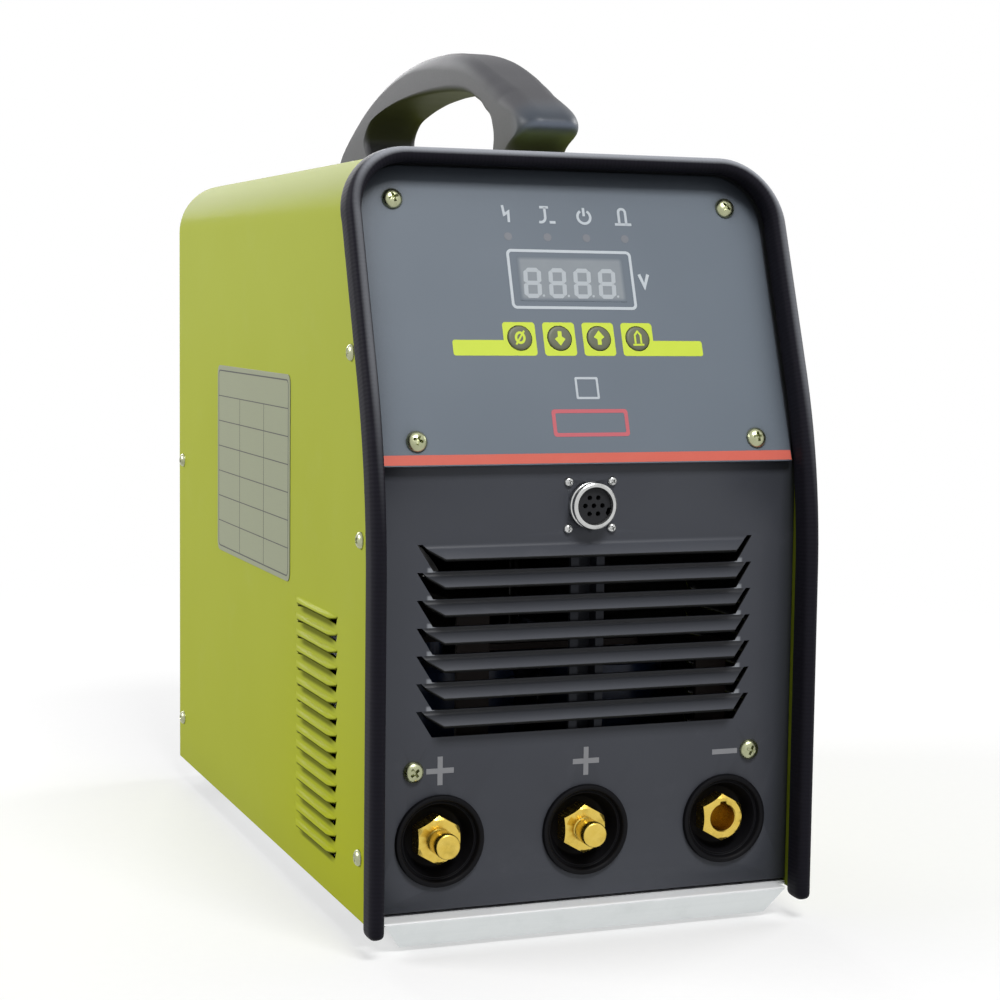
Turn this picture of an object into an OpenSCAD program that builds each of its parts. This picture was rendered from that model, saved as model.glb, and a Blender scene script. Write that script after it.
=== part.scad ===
// Stud welder of the capacitor-discharge kind, in millimetres.
// X to the right seen from the front, Y to the back, Z up, origin on the floor under the middle.

/* [Case] */
// Width of the sheet cover
case_w = 218; // [208:1:240]
// Height of the cover's top above the floor
case_top = 365; // [355:1:400]
// Depth from the trim's front to the cover's rear edge
case_d = 406; // [400:1:450]
// Height of the cover's lower edge above the floor
cover_gap = 13; // [10:0.5:13.5]
// Sheet thickness of the cover
cover_t = 1.5; // [1:0.1:2]
// Outside radius of the cover's top corners
corner_r = 29; // [20:1:36]
// Lean of the upper front in degrees
rake = 19.5; // [14:0.5:22]
// Height at which the front edge starts to lean, as a sharp bend
rake_z = 220; // [212:1:226]
// Radius that blends the upright front edge into the leaning one
rake_blend = 285; // [150:5:320]

/* [Edge trim] */
// Rubber outside the cover
trim_out = 3; // [2.5:0.1:4]
// Rubber inside the cover
trim_in = 3; // [2:0.1:3.5]
// Rubber ahead of the sheet's edge
trim_nose = 2.5; // [1.5:0.1:4]
// Depth of the trim's legs
trim_leg = 13.5; // [10:0.5:13.5]
// How far the trim's ends hang below the cover
trim_drop = 4; // [2:0.5:6]

/* [Base] */
// Height of a rubber foot
foot_h = 13.5; // [13.5:0.5:18]
// Radius of a rubber foot
foot_r = 14; // [12:0.5:18]
// Distance of the feet from the cover's sides
foot_side = 30; // [24:1:36]
// Distance of the feet from the front and rear panels
foot_end = 46; // [36:1:56]
// Sheet thickness of the base tray
tray_t = 1.5; // [1:0.1:2]
// How far the tray stands out in front of the panel
ledge = 10.5; // [8:0.5:12]
// Distance of the ends of the ledge, and of the lip folded down from it, from the cover's sides
lip_side = 6.5; // [6:0.5:14]
// How far the folded lip runs back on its way down
lip_slant = 6; // [3:0.5:8]
// Gap under the lip
lip_clear = 2; // [1:0.5:4]
// Chamfer of the lip's lower corners
lip_corner = 9; // [4:0.5:12]
// Height of the tray's side flanges
tray_flange = 20; // [14:1:30]

/* [Front panel] */
// Sheet thickness of the front and rear panels
panel_t = 1.5; // [1:0.1:2]
// Distance from the trim's front to the panel
panel_recess = 20; // [18:0.5:24]
// Depth of the panel's flanges
panel_flange = 16; // [14:0.5:18]
// Height of the panel's bend above that of the trim
bend_rise = 7; // [5:0.5:9]
// Clearance of the panels inside the cover
panel_fit = 0.3; // [0.1:0.05:0.5]
// Number of front louvres
louvre_n = 7; // [5:1:7]
// Spacing of the front louvres
louvre_pitch = 12.9; // [12.6:0.1:13.2]
// Distance from the gun socket's middle down to the first louvre's upper edge
louvre_below = 17; // [16:0.5:20]
// Distance of the ends of a louvre's upper edge from the cover's sides
louvre_side = 26; // [23:0.5:34]
// How much shorter a louvre's lower edge is at each end
louvre_slant = 10; // [9:0.5:18]
// How far a louvre stands out
louvre_out = 6; // [4:0.5:8]
// Drop from a louvre's upper edge to its lower edge
louvre_drop = 6.5; // [5:0.5:7.5]
// Height of a louvre's opening in the sheet
louvre_open = 12; // [10:0.5:12.4]

/* [Control panel] */
// Thickness of the control plate
plate_t = 2; // [1.5:0.1:2.5]
// Thickness of the printed film
film_t = 0.4; // [0.3:0.1:0.6]
// Gap between the control plate and the cover
plate_margin = 3.8; // [3.6:0.1:6]
// How far the plate hangs below the panel's bend
plate_overhang = 5.5; // [3:0.5:7]
// Distance of the plate's screws from the cover's sides
plate_screw_side = 23.3; // [19:0.1:27]
// Height up the plate of its lower screws
plate_screw_low = 11.5; // [10:0.5:12.5]
// Distance of the plate's upper screws from its upper edge
plate_screw_top = 17.8; // [16.5:0.1:19]

/* [Keys, display and lamps] */
// Spacing of the keys
key_pitch = 20; // [18:0.5:21]
// Radius of a key
key_r = 6; // [5:0.5:7]
// Height up the plate of the keys
key_v = 61; // [58:0.5:63]
// Travel of a key
key_travel = 0.5; // [0.3:0.05:0.55]
// How far a key stands out of the film
key_proud = 0.7; // [0.6:0.05:0.9]
// Width of the display's window
window_w = 54; // [53:0.5:58]
// Height of the display's window
window_h = 20; // [19.5:0.5:21]
// Height of the display's middle above the keys
display_rise = 28.3; // [27:0.1:29]
// Width of the four-digit display
display_w = 50.3; // [46:0.1:52]
// Height of the four-digit display
display_h = 19; // [16:0.5:19]
// Thickness of the display
display_t = 8; // [7.5:0.5:9]
// Spacing of the indicator lamps
lamp_pitch = 20; // [18:0.5:21]
// Height of the lamps above the display's middle
lamp_rise = 22; // [20:0.1:24]
// Radius of a lamp
lamp_r = 1.5; // [1:0.1:1.6]

/* [Gun socket] */
// Distance of the gun socket below the panel's bend
gun_drop = 24; // [23:0.5:24]
// Outside radius of its ring
gun_r = 10.5; // [9:0.1:10.5]
// How far the ring stands out
gun_reach = 7; // [4:0.5:9]
// Radius of the insert
gun_insert_r = 8.7; // [8:0.1:8.7]
// Spacing of its screws, a square
gun_bolt = 22; // [22:0.5:23]

/* [Terminals] */
// Distance of the outer terminals from the cover's sides
term_side = 36.2; // [35:0.1:45]
// Height of the output terminals
term_z = 49; // [47:0.5:50]
// Outside radius of a collar
collar_r = 21.7; // [21:0.1:23]
// Radius of a threaded stud
stud_r = 6; // [5:0.5:6]
// How far a stud stands out of the panel
stud_reach = 13; // [8:0.5:14]
// Width across the flats of the brass hexagons
hex_af = 19; // [18:0.5:21]
// Radius of the hollow socket's bore
bore_r = 6.5; // [5:0.1:6.5]
// Depth of the hollow socket's bore
bore_d = 24; // [18:0.5:26]

/* [Side louvres and plate] */
// Number of louvres on each side
vent_n = 15; // [8:1:16]
// Spacing of the side louvres
vent_pitch = 8; // [7.6:0.1:9]
// Length of a side louvre
vent_l = 76; // [60:1:90]
// How far a side louvre stands out
vent_out = 2.8; // [2:0.1:2.8]
// Height of the lowest side louvre's upper edge
vent_low = 37; // [34:1:48]
// Distance from the front panel to the louvres' front end
vent_y = 44; // [40:1:60]
// Length of the side plate
plate_l = 155; // [120:1:170]
// Height of the side plate
plate_h = 105; // [80:1:110]
// Distance from the front panel to the side plate
plate_y = 129; // [120:1:140]
// Height of the side plate's lower edge
plate_z = 154; // [153:1:170]

/* [Handle] */
// Width of the handle
handle_w = 27; // [24:0.5:32]
// Height of the handle's top above the cover
handle_h = 64; // [60:1:70]
// Thickness of the grip at its top
grip_t = 21; // [18:0.5:24]
// Distance from the front panel to the handle's nose
handle_y = 53; // [48:1:70]
// Length of the handle
handle_l = 320; // [300:1:330]
// Length of the front leg at its foot
front_leg = 46; // [40:1:50]
// Length of the rear leg at its foot
rear_leg = 81; // [70:1:90]

/* [Fan] */
// Side of the square fan
fan_w = 120; // [119:0.5:120]
// Depth of the fan
fan_d = 25; // [25:1:32]
// Height of the fan's middle
fan_z = 100; // [98:1:104]
// Distance of the fan's screws from its sides
fan_bolt_in = 7.5; // [7.5:0.25:8]

/* [Rear fittings] */
// Height of the switch and the gland
rear_row_z = 270; // [256:1:290]
// Distance of the switch and the gland from the middle
rear_row_x = 55; // [40:1:62]
// Radius of the gland's cable hole
gland_bore = 5; // [3:0.5:6]
// How far the gland stands out of the rear panel
gland_reach = 22; // [18:0.5:26]
// Tilt of the rocker from one side to the other in degrees
rocker_tilt = 20; // [14:1:22]

/* [Inside] */
// Radius of an energy capacitor
cap_r = 31.5; // [28:0.5:33]
// Height of an energy capacitor
cap_h = 105; // [95:1:106]
// Thickness of the copper bars
bar_t = 3; // [2:0.5:4]

/* [Hidden] */
$fn = 64;
big = 900;
// Clearance round screws and between fixed pieces
slack = 0.15;
// Clearance round moving pieces
run_gap = 0.3;
// Radial clearance of a shaft in its bearing
shaft_gap = 0.05;
// Length by which a cut passes the sheet that it goes through
cut = 10;

rear_inset = 2;
rear_flange = 18;
overall_d = case_d - rear_inset + gland_reach;
front_y = -overall_d / 2;
rear_y = front_y + case_d;
rear_face = rear_y - rear_inset;
panel_y = front_y + panel_recess;
bend_z = rake_z + bend_rise;
floor_top = foot_h + tray_t;
inner_w = case_w - 2 * cover_t;
flange_in = cover_t + panel_fit;
lip_w = case_w - 2 * lip_side;

m3 = 1.45;
m4 = 2;
m5 = 2.45;
m6 = 3;
head_m3 = 2.4;
head_m4 = 4;
head_m5 = 5;
head_h = 3;
// Nuts across their flats, and their heights
nut_m3 = 5.5;
nut_m4 = 7;
nut_m5 = 8;
nut_m6 = 10;
nut_h_m3 = 2.4;
nut_h_m4 = 3.2;
nut_h_m5 = 4;
nut_h_m6 = 4;

// Places up the leaning panel, from the control plate's lower edge
plate_v = (case_top - cover_t - plate_margin - bend_z) / cos(rake) + plate_overhang;
plate_screw_x = case_w / 2 - plate_screw_side;
plate_screw_high = plate_v - plate_screw_top;
display_v = key_v + display_rise;
lamp_v = display_v + lamp_rise;

// Depths behind the overlay's own plane, along the leaning panel
board_back = 0.6 + display_t;
board_t = 1.6;
film_face = plate_t + film_t;
switch_h = 4.3;
key_gap = key_travel + 0.1;
frame_v0 = plate_screw_low + 6.5;
frame_v1 = plate_screw_high - 4.5;
frame_w = 2 * (plate_screw_x - 9);
board_w = frame_w - 29.4;
board_v0 = key_v - 11;
board_v1 = frame_v1 - 2;
standoff_r = 3;

// Depths behind the front panel's face
collar_back = 13;
collar_floor = 9;
wall_board = collar_back + 4;
bar_back = wall_board + bar_t;
front_screw_side = 23.2;
front_screw_rise = 33;
front_screw_x = case_w / 2 - front_screw_side;
front_screw_z = term_z + front_screw_rise;
term_pitch = case_w / 2 - term_side;
term_x = [-term_pitch, 0, term_pitch];
gun_z = bend_z - gun_drop;
gun_flange_w = gun_bolt + 8;
louvre_z = gun_z - louvre_below;
louvre_top_w = case_w - 2 * louvre_side;
louvre_low_w = louvre_top_w - 2 * louvre_slant;
socket_r = 9;
// How far a stud's nut stands out of the panel
nut_proud = 0.5;
// A stud is thinner behind the face of its nut
shank_r = stud_r - 0.6;

cover_screw_front = [42, 188.5, 273];
cover_screw_rear = [39, 198];

fan_y = rear_face - panel_t - fan_d;
fan_bore = fan_w / 2 - 3;
fan_bolt = fan_w - 2 * fan_bolt_in;
hub_r = 20;
fan_shaft_r = 1.5;

cap_gap = 7;
cap_mid_gap = 17;
cap_front = 46.5;
cap_x = cap_r + cap_mid_gap / 2;
cap_first = cap_r + cap_front;
cap_y = [cap_first, cap_first + 2 * cap_r + cap_gap];
cap_end = cap_y[1] + cap_r;
post_r = 6;
post_h = 10;
post_off = 11;
cap_top = floor_top + cap_h;
bar_z = cap_top + post_h;
bar_w = 16;
sink_w = 100;
sink_gap = 30.5;
sink_l = 125;
sink_y0 = cap_end + sink_gap;
sink_y1 = sink_y0 + sink_l;
thyristor_y = sink_y0 + 4;
thyristor_h = 30;
thyristor_post = 5;
thyristor_posts = [11, 36, 61];
sink_top = bar_z - thyristor_h - thyristor_post;
charger_rise = 22;
charger_side = 27;
charger_z = fan_z + fan_w / 2 + charger_rise;
charger_x = case_w / 2 - charger_side;
charger_gap = 17.5;
charger_l = 108;
charger_first = cap_end + charger_gap;
charger_y = [charger_first, charger_first + charger_l];

// Helpers that place and repeat shapes

// A flat outline in X and Z, drawn out along Y
module along_y(from, to) {
  translate([0, to, 0]) rotate([90, 0, 0]) linear_extrude(to - from) children();
}

// A flat outline in Y and Z, drawn out along X
module along_x(w) {
  rotate([90, 0, 90]) linear_extrude(w, center = true) children();
}

// A block between two corners
module block(a, b) {
  translate(a) cube(b - a);
}

// A block given by its middle in X, its width and its ranges in Y behind the panel and Z
module bar(x, w, y0, y1, z0, z1) {
  block([x - w / 2, panel_y + y0, z0], [x + w / 2, panel_y + y1, z1]);
}

// A round rod along Y between two depths
module rod_y(x, z, r, y0, y1) {
  translate([x, y0, z]) rotate([-90, 0, 0]) cylinder(r = r, h = y1 - y0);
}

// A hexagon along Y, point up, given across its flats
module hex_y(x, z, af, y0, y1) {
  translate([x, y0, z]) rotate([-90, 0, 0]) rotate(90) cylinder(r = af / sqrt(3), h = y1 - y0, $fn = 6);
}

// Places children on the leaning panel: X across, Y up the plate from its lower edge, Z out of it
module on_rake() {
  translate([0, panel_y, bend_z]) rotate([90 - rake, 0, 0]) translate([0, -plate_overhang, 0]) children();
}

// Outline of the cover's section, moved in by inset, from the height low upwards
module arch(inset, low) {
  w = case_w - 2 * inset;
  r = corner_r - inset;
  top = case_top - inset;
  translate([-w / 2, low]) square([w, top - r - low]);
  translate([-w / 2 + r, low]) square([w - 2 * r, top - low]);
  for (s = [-1, 1]) translate([s * (w / 2 - r), top - r]) circle(r);
}

// The space behind a front that stands up to z0 and then leans, the front moved back by d
module behind(y0, z0, d, blend) {
  k = tan(rake / 2);
  up = [sin(rake), cos(rake)];
  corner = [y0 + d, z0 - d * k];
  r = max(blend - d, 0);
  low = corner - [0, r * k];
  high = corner + r * k * up;
  end = corner + up * big / 2;
  turn = r > 0 ? [low, high] : [corner];
  along_x(big) polygon(concat([[y0 + d, -big / 10]], turn, [end, [big, end[1]], [big, -big / 10]]));
  if (r > 0)
    along_x(big) intersection() {
      translate(low + [r, 0]) circle(r, $fn = 360);
      polygon([low, corner, high, high + [r / 4, 0], low + [r / 4, 0]]);
    }
}

// A pressed louvre that stands out towards -Y and opens downwards, its upper edge at the origin
module louvre(top_w, low_w, out, drop, open, back) {
  a = top_w / 2;
  b = low_w / 2;
  c = (a + b) / 2 - (a - b) / 4;
  polyhedron(
    points = [
      [-a, 0, 0], [a, 0, 0], [-b, -out, -drop], [b, -out, -drop], [-c, 0, -open], [c, 0, -open],
      [-a, back, 0], [a, back, 0], [-c, back, -open], [c, back, -open]
    ],
    faces = [
      [0, 1, 3, 2], [2, 3, 5, 4], [0, 2, 4], [1, 5, 3], [6, 7, 1, 0],
      [4, 5, 9, 8], [0, 4, 8, 6], [1, 7, 9, 5], [6, 8, 9, 7]
    ]
  );
}

// A hexagon nut or head standing up from the origin, given across its flats
module nut_up(af, h) {
  cylinder(r = af / sqrt(3), h = h, $fn = 6);
}

// A screw that enters along +Y, with a pan head outside and a nut at the far end
module screw_y(x, z, r, head_r, head, from, to, nut_af, nut_h) {
  rod_y(x, z, head_r, from - head, from);
  rod_y(x, z, r, from - head / 2, to + nut_h);
  hex_y(x, z, nut_af, to, to + nut_h);
}

module at_feet() {
  for (x = [-1, 1], y = [panel_y + foot_end, rear_face - foot_end])
    translate([x * (case_w / 2 - foot_side), y, 0]) children();
}

module at_front_louvres() {
  for (i = [0 : louvre_n - 1]) translate([0, panel_y, louvre_z - i * louvre_pitch]) children();
}

// The louvres of both sides of the cover, each standing out of its wall
module at_side_louvres() {
  for (s = [-1, 1], i = [0 : vent_n - 1])
    translate([s * case_w / 2, panel_y + vent_y + vent_l / 2, vent_low + i * vent_pitch])
      rotate(s * 90) children();
}

// How far back the panel leans at a height
function lean(z) = max(z - bend_z, 0) * tan(rake);

// Side screws of the cover, as places in Y and Z
function flange_mid(z) = panel_y + lean(z) + panel_flange / 2 / (z > bend_z ? cos(rake) : 1);
cover_screw_places = concat(
  [for (z = cover_screw_front) [flange_mid(z), z]],
  [for (z = cover_screw_rear) [rear_face - rear_flange / 2, z]]
);

module at_cover_screws() {
  for (s = [-1, 1], p = cover_screw_places)
    translate([s * case_w / 2, p[0], p[1]]) rotate([0, s * 90, 0]) children();
}

module cover_screw_holes() {
  at_cover_screws() translate([0, 0, -cut]) cylinder(r = m4 + slack, h = 2 * cut);
}

module at_plate_screws() {
  for (x = [-1, 1], v = [plate_screw_low, plate_screw_high]) translate([x * plate_screw_x, v, 0]) children();
}

module at_keys() {
  for (i = [1 : 4]) translate([(i - 2.5) * key_pitch, key_v, 0]) children();
}

module at_lamps() {
  for (i = [1 : 4]) translate([(i - 2.5) * lamp_pitch, lamp_v, 0]) children();
}

module at_standoffs() {
  for (x = [-1, 1], v = [board_v0 + 5, board_v1 - 5]) translate([x * (board_w / 2 - 6), v, 0]) children();
}

module at_gun_screws() {
  for (x = [-1, 1], z = [-1, 1]) translate([x * gun_bolt / 2, 0, gun_z + z * gun_bolt / 2]) children();
}

module at_fan_screws() {
  for (x = [-1, 1], z = [-1, 1]) translate([x * fan_bolt / 2, 0, fan_z + z * fan_bolt / 2]) children();
}

// Base

module base_tray() {
  floor_w = inner_w - 2 * panel_fit;
  end_gap = 4;
  flange_y0 = panel_y + panel_flange + end_gap;
  flange_y1 = rear_face - rear_flange - end_gap;
  lip = [[0, floor_top], [lip_slant, lip_clear], [lip_slant + tray_t, lip_clear], [tray_t, floor_top]];
  color("silver") difference() {
    union() {
      block([-floor_w / 2, panel_y, foot_h], [floor_w / 2, rear_face, floor_top]);
      block([-lip_w / 2, panel_y - ledge, foot_h], [lip_w / 2, panel_y, floor_top]);
      for (s = [-1, 1])
        block(
          [s * (floor_w - tray_t) / 2 - tray_t / 2, flange_y0, foot_h],
          [s * (floor_w - tray_t) / 2 + tray_t / 2, flange_y1, floor_top + tray_flange]
        );
      intersection() {
        union() {
          along_x(lip_w) translate([panel_y - ledge, 0]) polygon(lip);
          block([-lip_w / 2, rear_face - tray_t, lip_clear], [lip_w / 2, rear_face, floor_top]);
        }
        along_y(front_y, rear_y) polygon([
          [-lip_w / 2, floor_top], [lip_w / 2, floor_top],
          [lip_w / 2 - lip_corner, lip_clear], [lip_corner - lip_w / 2, lip_clear]
        ]);
      }
    }
    at_feet() cylinder(r = m5 + slack, h = 2 * floor_top);
  }
}

// Height of the pocket under a foot that takes the screw's head
foot_pocket = 5;

module feet() {
  taper = 2;
  pocket_r = head_m5 + 1;
  color("dimgray") at_feet() rotate_extrude() polygon([
    [m5 + slack, foot_pocket], [pocket_r, foot_pocket], [pocket_r, 0], [foot_r - taper, 0],
    [foot_r, taper], [foot_r - taper, foot_h], [m5 + slack, foot_h]
  ]);
}

module foot_screws() {
  end = floor_top + nut_h_m5 + 2;
  color("gainsboro") at_feet() {
    translate([0, 0, foot_pocket - head_h]) cylinder(r = head_m5, h = head_h);
    translate([0, 0, foot_pocket - head_h / 2]) cylinder(r = m5, h = end - foot_pocket);
    translate([0, 0, floor_top]) nut_up(nut_m5, nut_h_m5);
  }
}

// Cover, its trim and its screws

module cover_sheet() {
  intersection() {
    along_y(front_y, rear_y) difference() {
      arch(0, cover_gap);
      arch(cover_t, cover_gap - 1);
    }
    behind(front_y, rake_z, trim_nose, rake_blend);
  }
}

module side_louvre(back) {
  drop = 0.55 * vent_pitch;
  open = 0.8 * vent_pitch;
  louvre(vent_l, vent_l - 2 * vent_out, vent_out, drop, open, back);
}

module cover() {
  color("yellowgreen") difference() {
    union() {
      cover_sheet();
      at_side_louvres() side_louvre(cover_t / 2);
    }
    at_side_louvres() translate([0, cover_t, -cover_t / 2]) side_louvre(cover_t);
    cover_screw_holes();
    at_handle_bolts() translate([0, 0, -cut]) cylinder(r = m6 + slack, h = 2 * cut);
  }
}

module edge_trim() {
  low = cover_gap - trim_drop;
  color("#2b2a30") difference() {
    intersection() {
      along_y(front_y, rear_y) difference() {
        arch(-trim_out, low);
        arch(cover_t + trim_in, low - 1);
      }
      difference() {
        behind(front_y, rake_z, 0, rake_blend);
        behind(front_y, rake_z, trim_leg, rake_blend);
      }
    }
    cover_sheet();
  }
}

module cover_screws() {
  head = 2.4;
  reach = 8;
  color("gainsboro") at_cover_screws() {
    cylinder(r = head_m4, h = head);
    translate([0, 0, -reach]) cylinder(r = m4, h = reach + head / 2);
  }
}

// Front panel

module front_louvre(back) {
  louvre(louvre_top_w, louvre_low_w, louvre_out, louvre_drop, louvre_open, back);
}

module front_panel() {
  color("#45474c") difference() {
    union() {
      intersection() {
        along_y(front_y, rear_y) arch(flange_in, floor_top);
        difference() {
          behind(panel_y, bend_z, 0, 0);
          behind(panel_y, bend_z, panel_t, 0);
        }
      }
      intersection() {
        along_y(front_y, rear_y) difference() {
          arch(flange_in, floor_top);
          arch(flange_in + panel_t, floor_top - 1);
        }
        difference() {
          behind(panel_y, bend_z, 0, 0);
          behind(panel_y, bend_z, panel_flange, 0);
        }
      }
      bar(0, case_w - 2 * flange_in, 0, panel_flange, floor_top, floor_top + panel_t);
      at_front_louvres() front_louvre(panel_t / 2);
    }
    at_front_louvres() translate([0, panel_t, -panel_t / 2]) front_louvre(panel_t);
    on_rake() {
      translate([-frame_w / 2, frame_v0, -cut]) cube([frame_w, frame_v1 - frame_v0, 2 * cut]);
      at_plate_screws() translate([0, 0, -cut]) cylinder(r = m5 + slack, h = 2 * cut);
    }
    rod_y(0, gun_z, gun_r + slack, panel_y - cut, panel_y + cut);
    at_gun_screws() rod_y(0, 0, m3 + slack, panel_y - cut, panel_y + cut);
    for (x = term_x) rod_y(x, term_z, collar_r - 2, panel_y - cut, panel_y + cut);
    for (x = [-1, 1]) rod_y(x * front_screw_x, front_screw_z, m5 + slack, panel_y - cut, panel_y + cut);
    cover_screw_holes();
  }
}

module louvre_stiffener() {
  trough = 4.5;
  brim = 8.5;
  deep = 9;
  t = 1.2;
  past = 2;
  z0 = louvre_z - louvre_n * louvre_pitch - past;
  z1 = gun_z - gun_flange_w / 2 - past / 2;
  color("#30343c") translate([0, panel_y + panel_t, z0]) linear_extrude(z1 - z0) polygon([
    [-brim, 0], [-trough, 0], [-trough, deep - t], [trough, deep - t], [trough, 0], [brim, 0],
    [brim, t], [trough + t, t], [trough + t, deep], [-trough - t, deep], [-trough - t, t], [-brim, t]
  ]);
}

module front_panel_screws() {
  color("gainsboro") for (x = [-1, 1])
    screw_y(
      x * front_screw_x, front_screw_z, m5, head_m5, head_h, panel_y, panel_y + wall_board, nut_m5, nut_h_m5
    );
}

// Control panel, keys, display and lamps

// The plate's outline between two heights off the leaning panel, with every hole
module control_sheet(inset, low, high) {
  difference() {
    intersection() {
      along_y(front_y, rear_y) arch(cover_t + inset, floor_top);
      on_rake() translate([-big / 2, 0, low]) cube([big, big / 2, high - low]);
    }
    on_rake() {
      at_plate_screws() cylinder(r = m5 + slack, h = 2 * film_face, center = true);
      at_keys() cylinder(r = key_r + run_gap, h = 4 * film_face, center = true);
      translate([-window_w / 2, display_v - window_h / 2, -1]) cube([window_w, window_h, 2 * film_face]);
    }
  }
}

module control_panel() {
  color("#5c6670") difference() {
    control_sheet(plate_margin, 0, plate_t);
    on_rake() at_lamps() cylinder(r = lamp_r + slack, h = 4 * plate_t, center = true);
  }
}

module keypad_overlay() {
  color("#757f8a") control_sheet(plate_margin + 0.4, plate_t, film_face);
}

module control_panel_screws() {
  end = -panel_t - nut_h_m5;
  color("gainsboro") on_rake() at_plate_screws() {
    translate([0, 0, film_face]) cylinder(r = head_m5, h = head_h);
    translate([0, 0, end - 1]) cylinder(r = m5, h = film_face + 2 - end);
    translate([0, 0, end]) nut_up(nut_m5, nut_h_m5);
  }
}

module key(i) {
  cap_t = 1.6;
  stem_r = 2;
  stem_end = -board_back + switch_h + key_gap;
  color("#6b6f58") on_rake() translate([(i - 2.5) * key_pitch, key_v, 0]) {
    translate([0, 0, film_face + key_proud - cap_t]) cylinder(r = key_r, h = cap_t);
    translate([0, 0, stem_end]) cylinder(r = stem_r, h = film_face + key_proud - cap_t / 2 - stem_end);
  }
}

module display_window() {
  w = window_w - 2 * slack;
  h = window_h - 2 * slack;
  color("#b8bcb8", 0.5) on_rake() translate([-w / 2, display_v - h / 2, 0]) cube([w, h, film_face]);
}

module display_module() {
  digit = 12.7;
  color("#d8dad4") on_rake() translate([0, display_v, -board_back]) difference() {
    translate([-display_w / 2, -display_h / 2, 0]) cube([display_w, display_h, display_t]);
    for (i = [-1 : 1]) translate([i * digit, 0, display_t]) cube([0.4, display_h + 1, 1], center = true);
  }
}

module indicator_leds() {
  color("#c8c8c0") on_rake() at_lamps() {
    translate([0, 0, -board_back]) cylinder(r = lamp_r, h = board_back + plate_t - 0.2);
    translate([0, 0, -board_back]) cylinder(r = lamp_r + 0.4, h = 2);
  }
}

module control_board() {
  color("#2f6b45") on_rake() difference() {
    translate([-board_w / 2, board_v0, -board_back - board_t]) cube([board_w, board_v1 - board_v0, board_t]);
    at_standoffs() translate([0, 0, -big / 2]) cylinder(r = m3 + slack, h = big);
  }
}

module key_switches() {
  side = 6;
  color("#303030") on_rake() at_keys() {
    translate([-side / 2, -side / 2, -board_back]) cube([side, side, switch_h - 0.8]);
    translate([0, 0, -board_back]) cylinder(r = 1.7, h = switch_h);
  }
}

module board_standoffs() {
  color("gold") on_rake() at_standoffs() {
    translate([0, 0, -board_back]) cylinder(r = standoff_r, h = board_back);
    translate([0, 0, -board_back - board_t - 2]) cylinder(r = m3, h = board_t + 3);
    translate([0, 0, -board_back - board_t - 2]) cylinder(r = head_m3, h = 2);
  }
}

// Gun socket

gun_flange_t = 2;
gun_barrel = 16;

module gun_socket_shell() {
  flange_back = panel_y + panel_t + gun_flange_t;
  color("silver") difference() {
    union() {
      rod_y(0, gun_z, gun_r, panel_y - gun_reach, flange_back);
      rod_y(0, gun_z, gun_r - 0.4, panel_y, panel_y + gun_barrel);
      block(
        [-gun_flange_w / 2, panel_y + panel_t, gun_z - gun_flange_w / 2],
        [gun_flange_w / 2, flange_back, gun_z + gun_flange_w / 2]
      );
    }
    rod_y(0, gun_z, gun_insert_r + shaft_gap, panel_y - gun_reach - cut, panel_y + gun_barrel + cut);
    at_gun_screws() rod_y(0, 0, m3 + slack, panel_y - cut, panel_y + cut);
  }
}

module gun_socket_insert() {
  set_back = 1.5;
  hole_r = 1.2;
  hole_d = 8;
  step = 4.3;
  row_step = step * sin(60);
  rows = [[-1, 2], [0, 3], [1, 2]];
  key_d = 1.4;
  key_w = 2;
  face = panel_y - gun_reach + set_back;
  color("#1c1c1e") difference() {
    rod_y(0, gun_z, gun_insert_r, face, panel_y + gun_barrel);
    for (row = rows, i = [0 : row[1] - 1])
      rod_y((i - (row[1] - 1) / 2) * step, gun_z + row[0] * row_step, hole_r, face - 1, face + hole_d);
    block([gun_insert_r - key_d, face - 1, gun_z - key_w / 2], [gun_r, face + hole_d, gun_z + key_w / 2]);
  }
}

module gun_socket_screws() {
  head = 1.8;
  end = panel_y + panel_t + gun_flange_t;
  color("gainsboro") at_gun_screws() screw_y(0, 0, m3, head_m3, head, panel_y, end, nut_m3, nut_h_m3);
}

// Output terminals

// Turns a profile of radius and depth behind the panel into a ring round a terminal
module turned_y(x, z, profile) {
  translate([x, panel_y, z]) rotate([-90, 0, 0]) rotate_extrude() polygon(profile);
}

module terminal_collar(i) {
  hole = (i == 3 ? socket_r : shank_r) + slack;
  body_r = collar_r - 2 - slack;
  lip = 2.2;
  color("#17171a") turned_y(term_x[i - 1], term_z, [
    [hole, collar_floor], [body_r - 5, collar_floor], [body_r - 0.6, -lip + 1], [body_r, -lip],
    [collar_r - 0.8, -lip], [collar_r, -lip + 0.8], [collar_r, 0], [body_r, 0], [body_r, collar_back],
    [hole, collar_back]
  ]);
}

module positive_stud(i) {
  chamfer = 1;
  end = bar_back + 14;
  color("#c9b44a") turned_y(term_x[i - 1], term_z, [
    [0, -stud_reach], [stud_r - chamfer, -stud_reach], [stud_r, -stud_reach + chamfer],
    [stud_r, -nut_proud], [shank_r, -nut_proud], [shank_r, end], [0, end]
  ]);
}

// A hexagon with its front corners turned off, between two depths behind the panel
module brass_hex(x, from, to) {
  r = hex_af / sqrt(3);
  turn = 1.1;
  intersection() {
    hex_y(x, term_z, hex_af, panel_y + from, panel_y + to);
    turned_y(x, term_z, [[0, from], [hex_af / 2, from], [r, from + turn], [r, to], [0, to]]);
  }
}

module positive_nut(i) {
  color("#c9b44a") difference() {
    brass_hex(term_x[i - 1], -nut_proud, collar_floor);
    rod_y(term_x[i - 1], term_z, shank_r + shaft_gap, panel_y - cut, panel_y + 2 * cut);
  }
}

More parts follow.
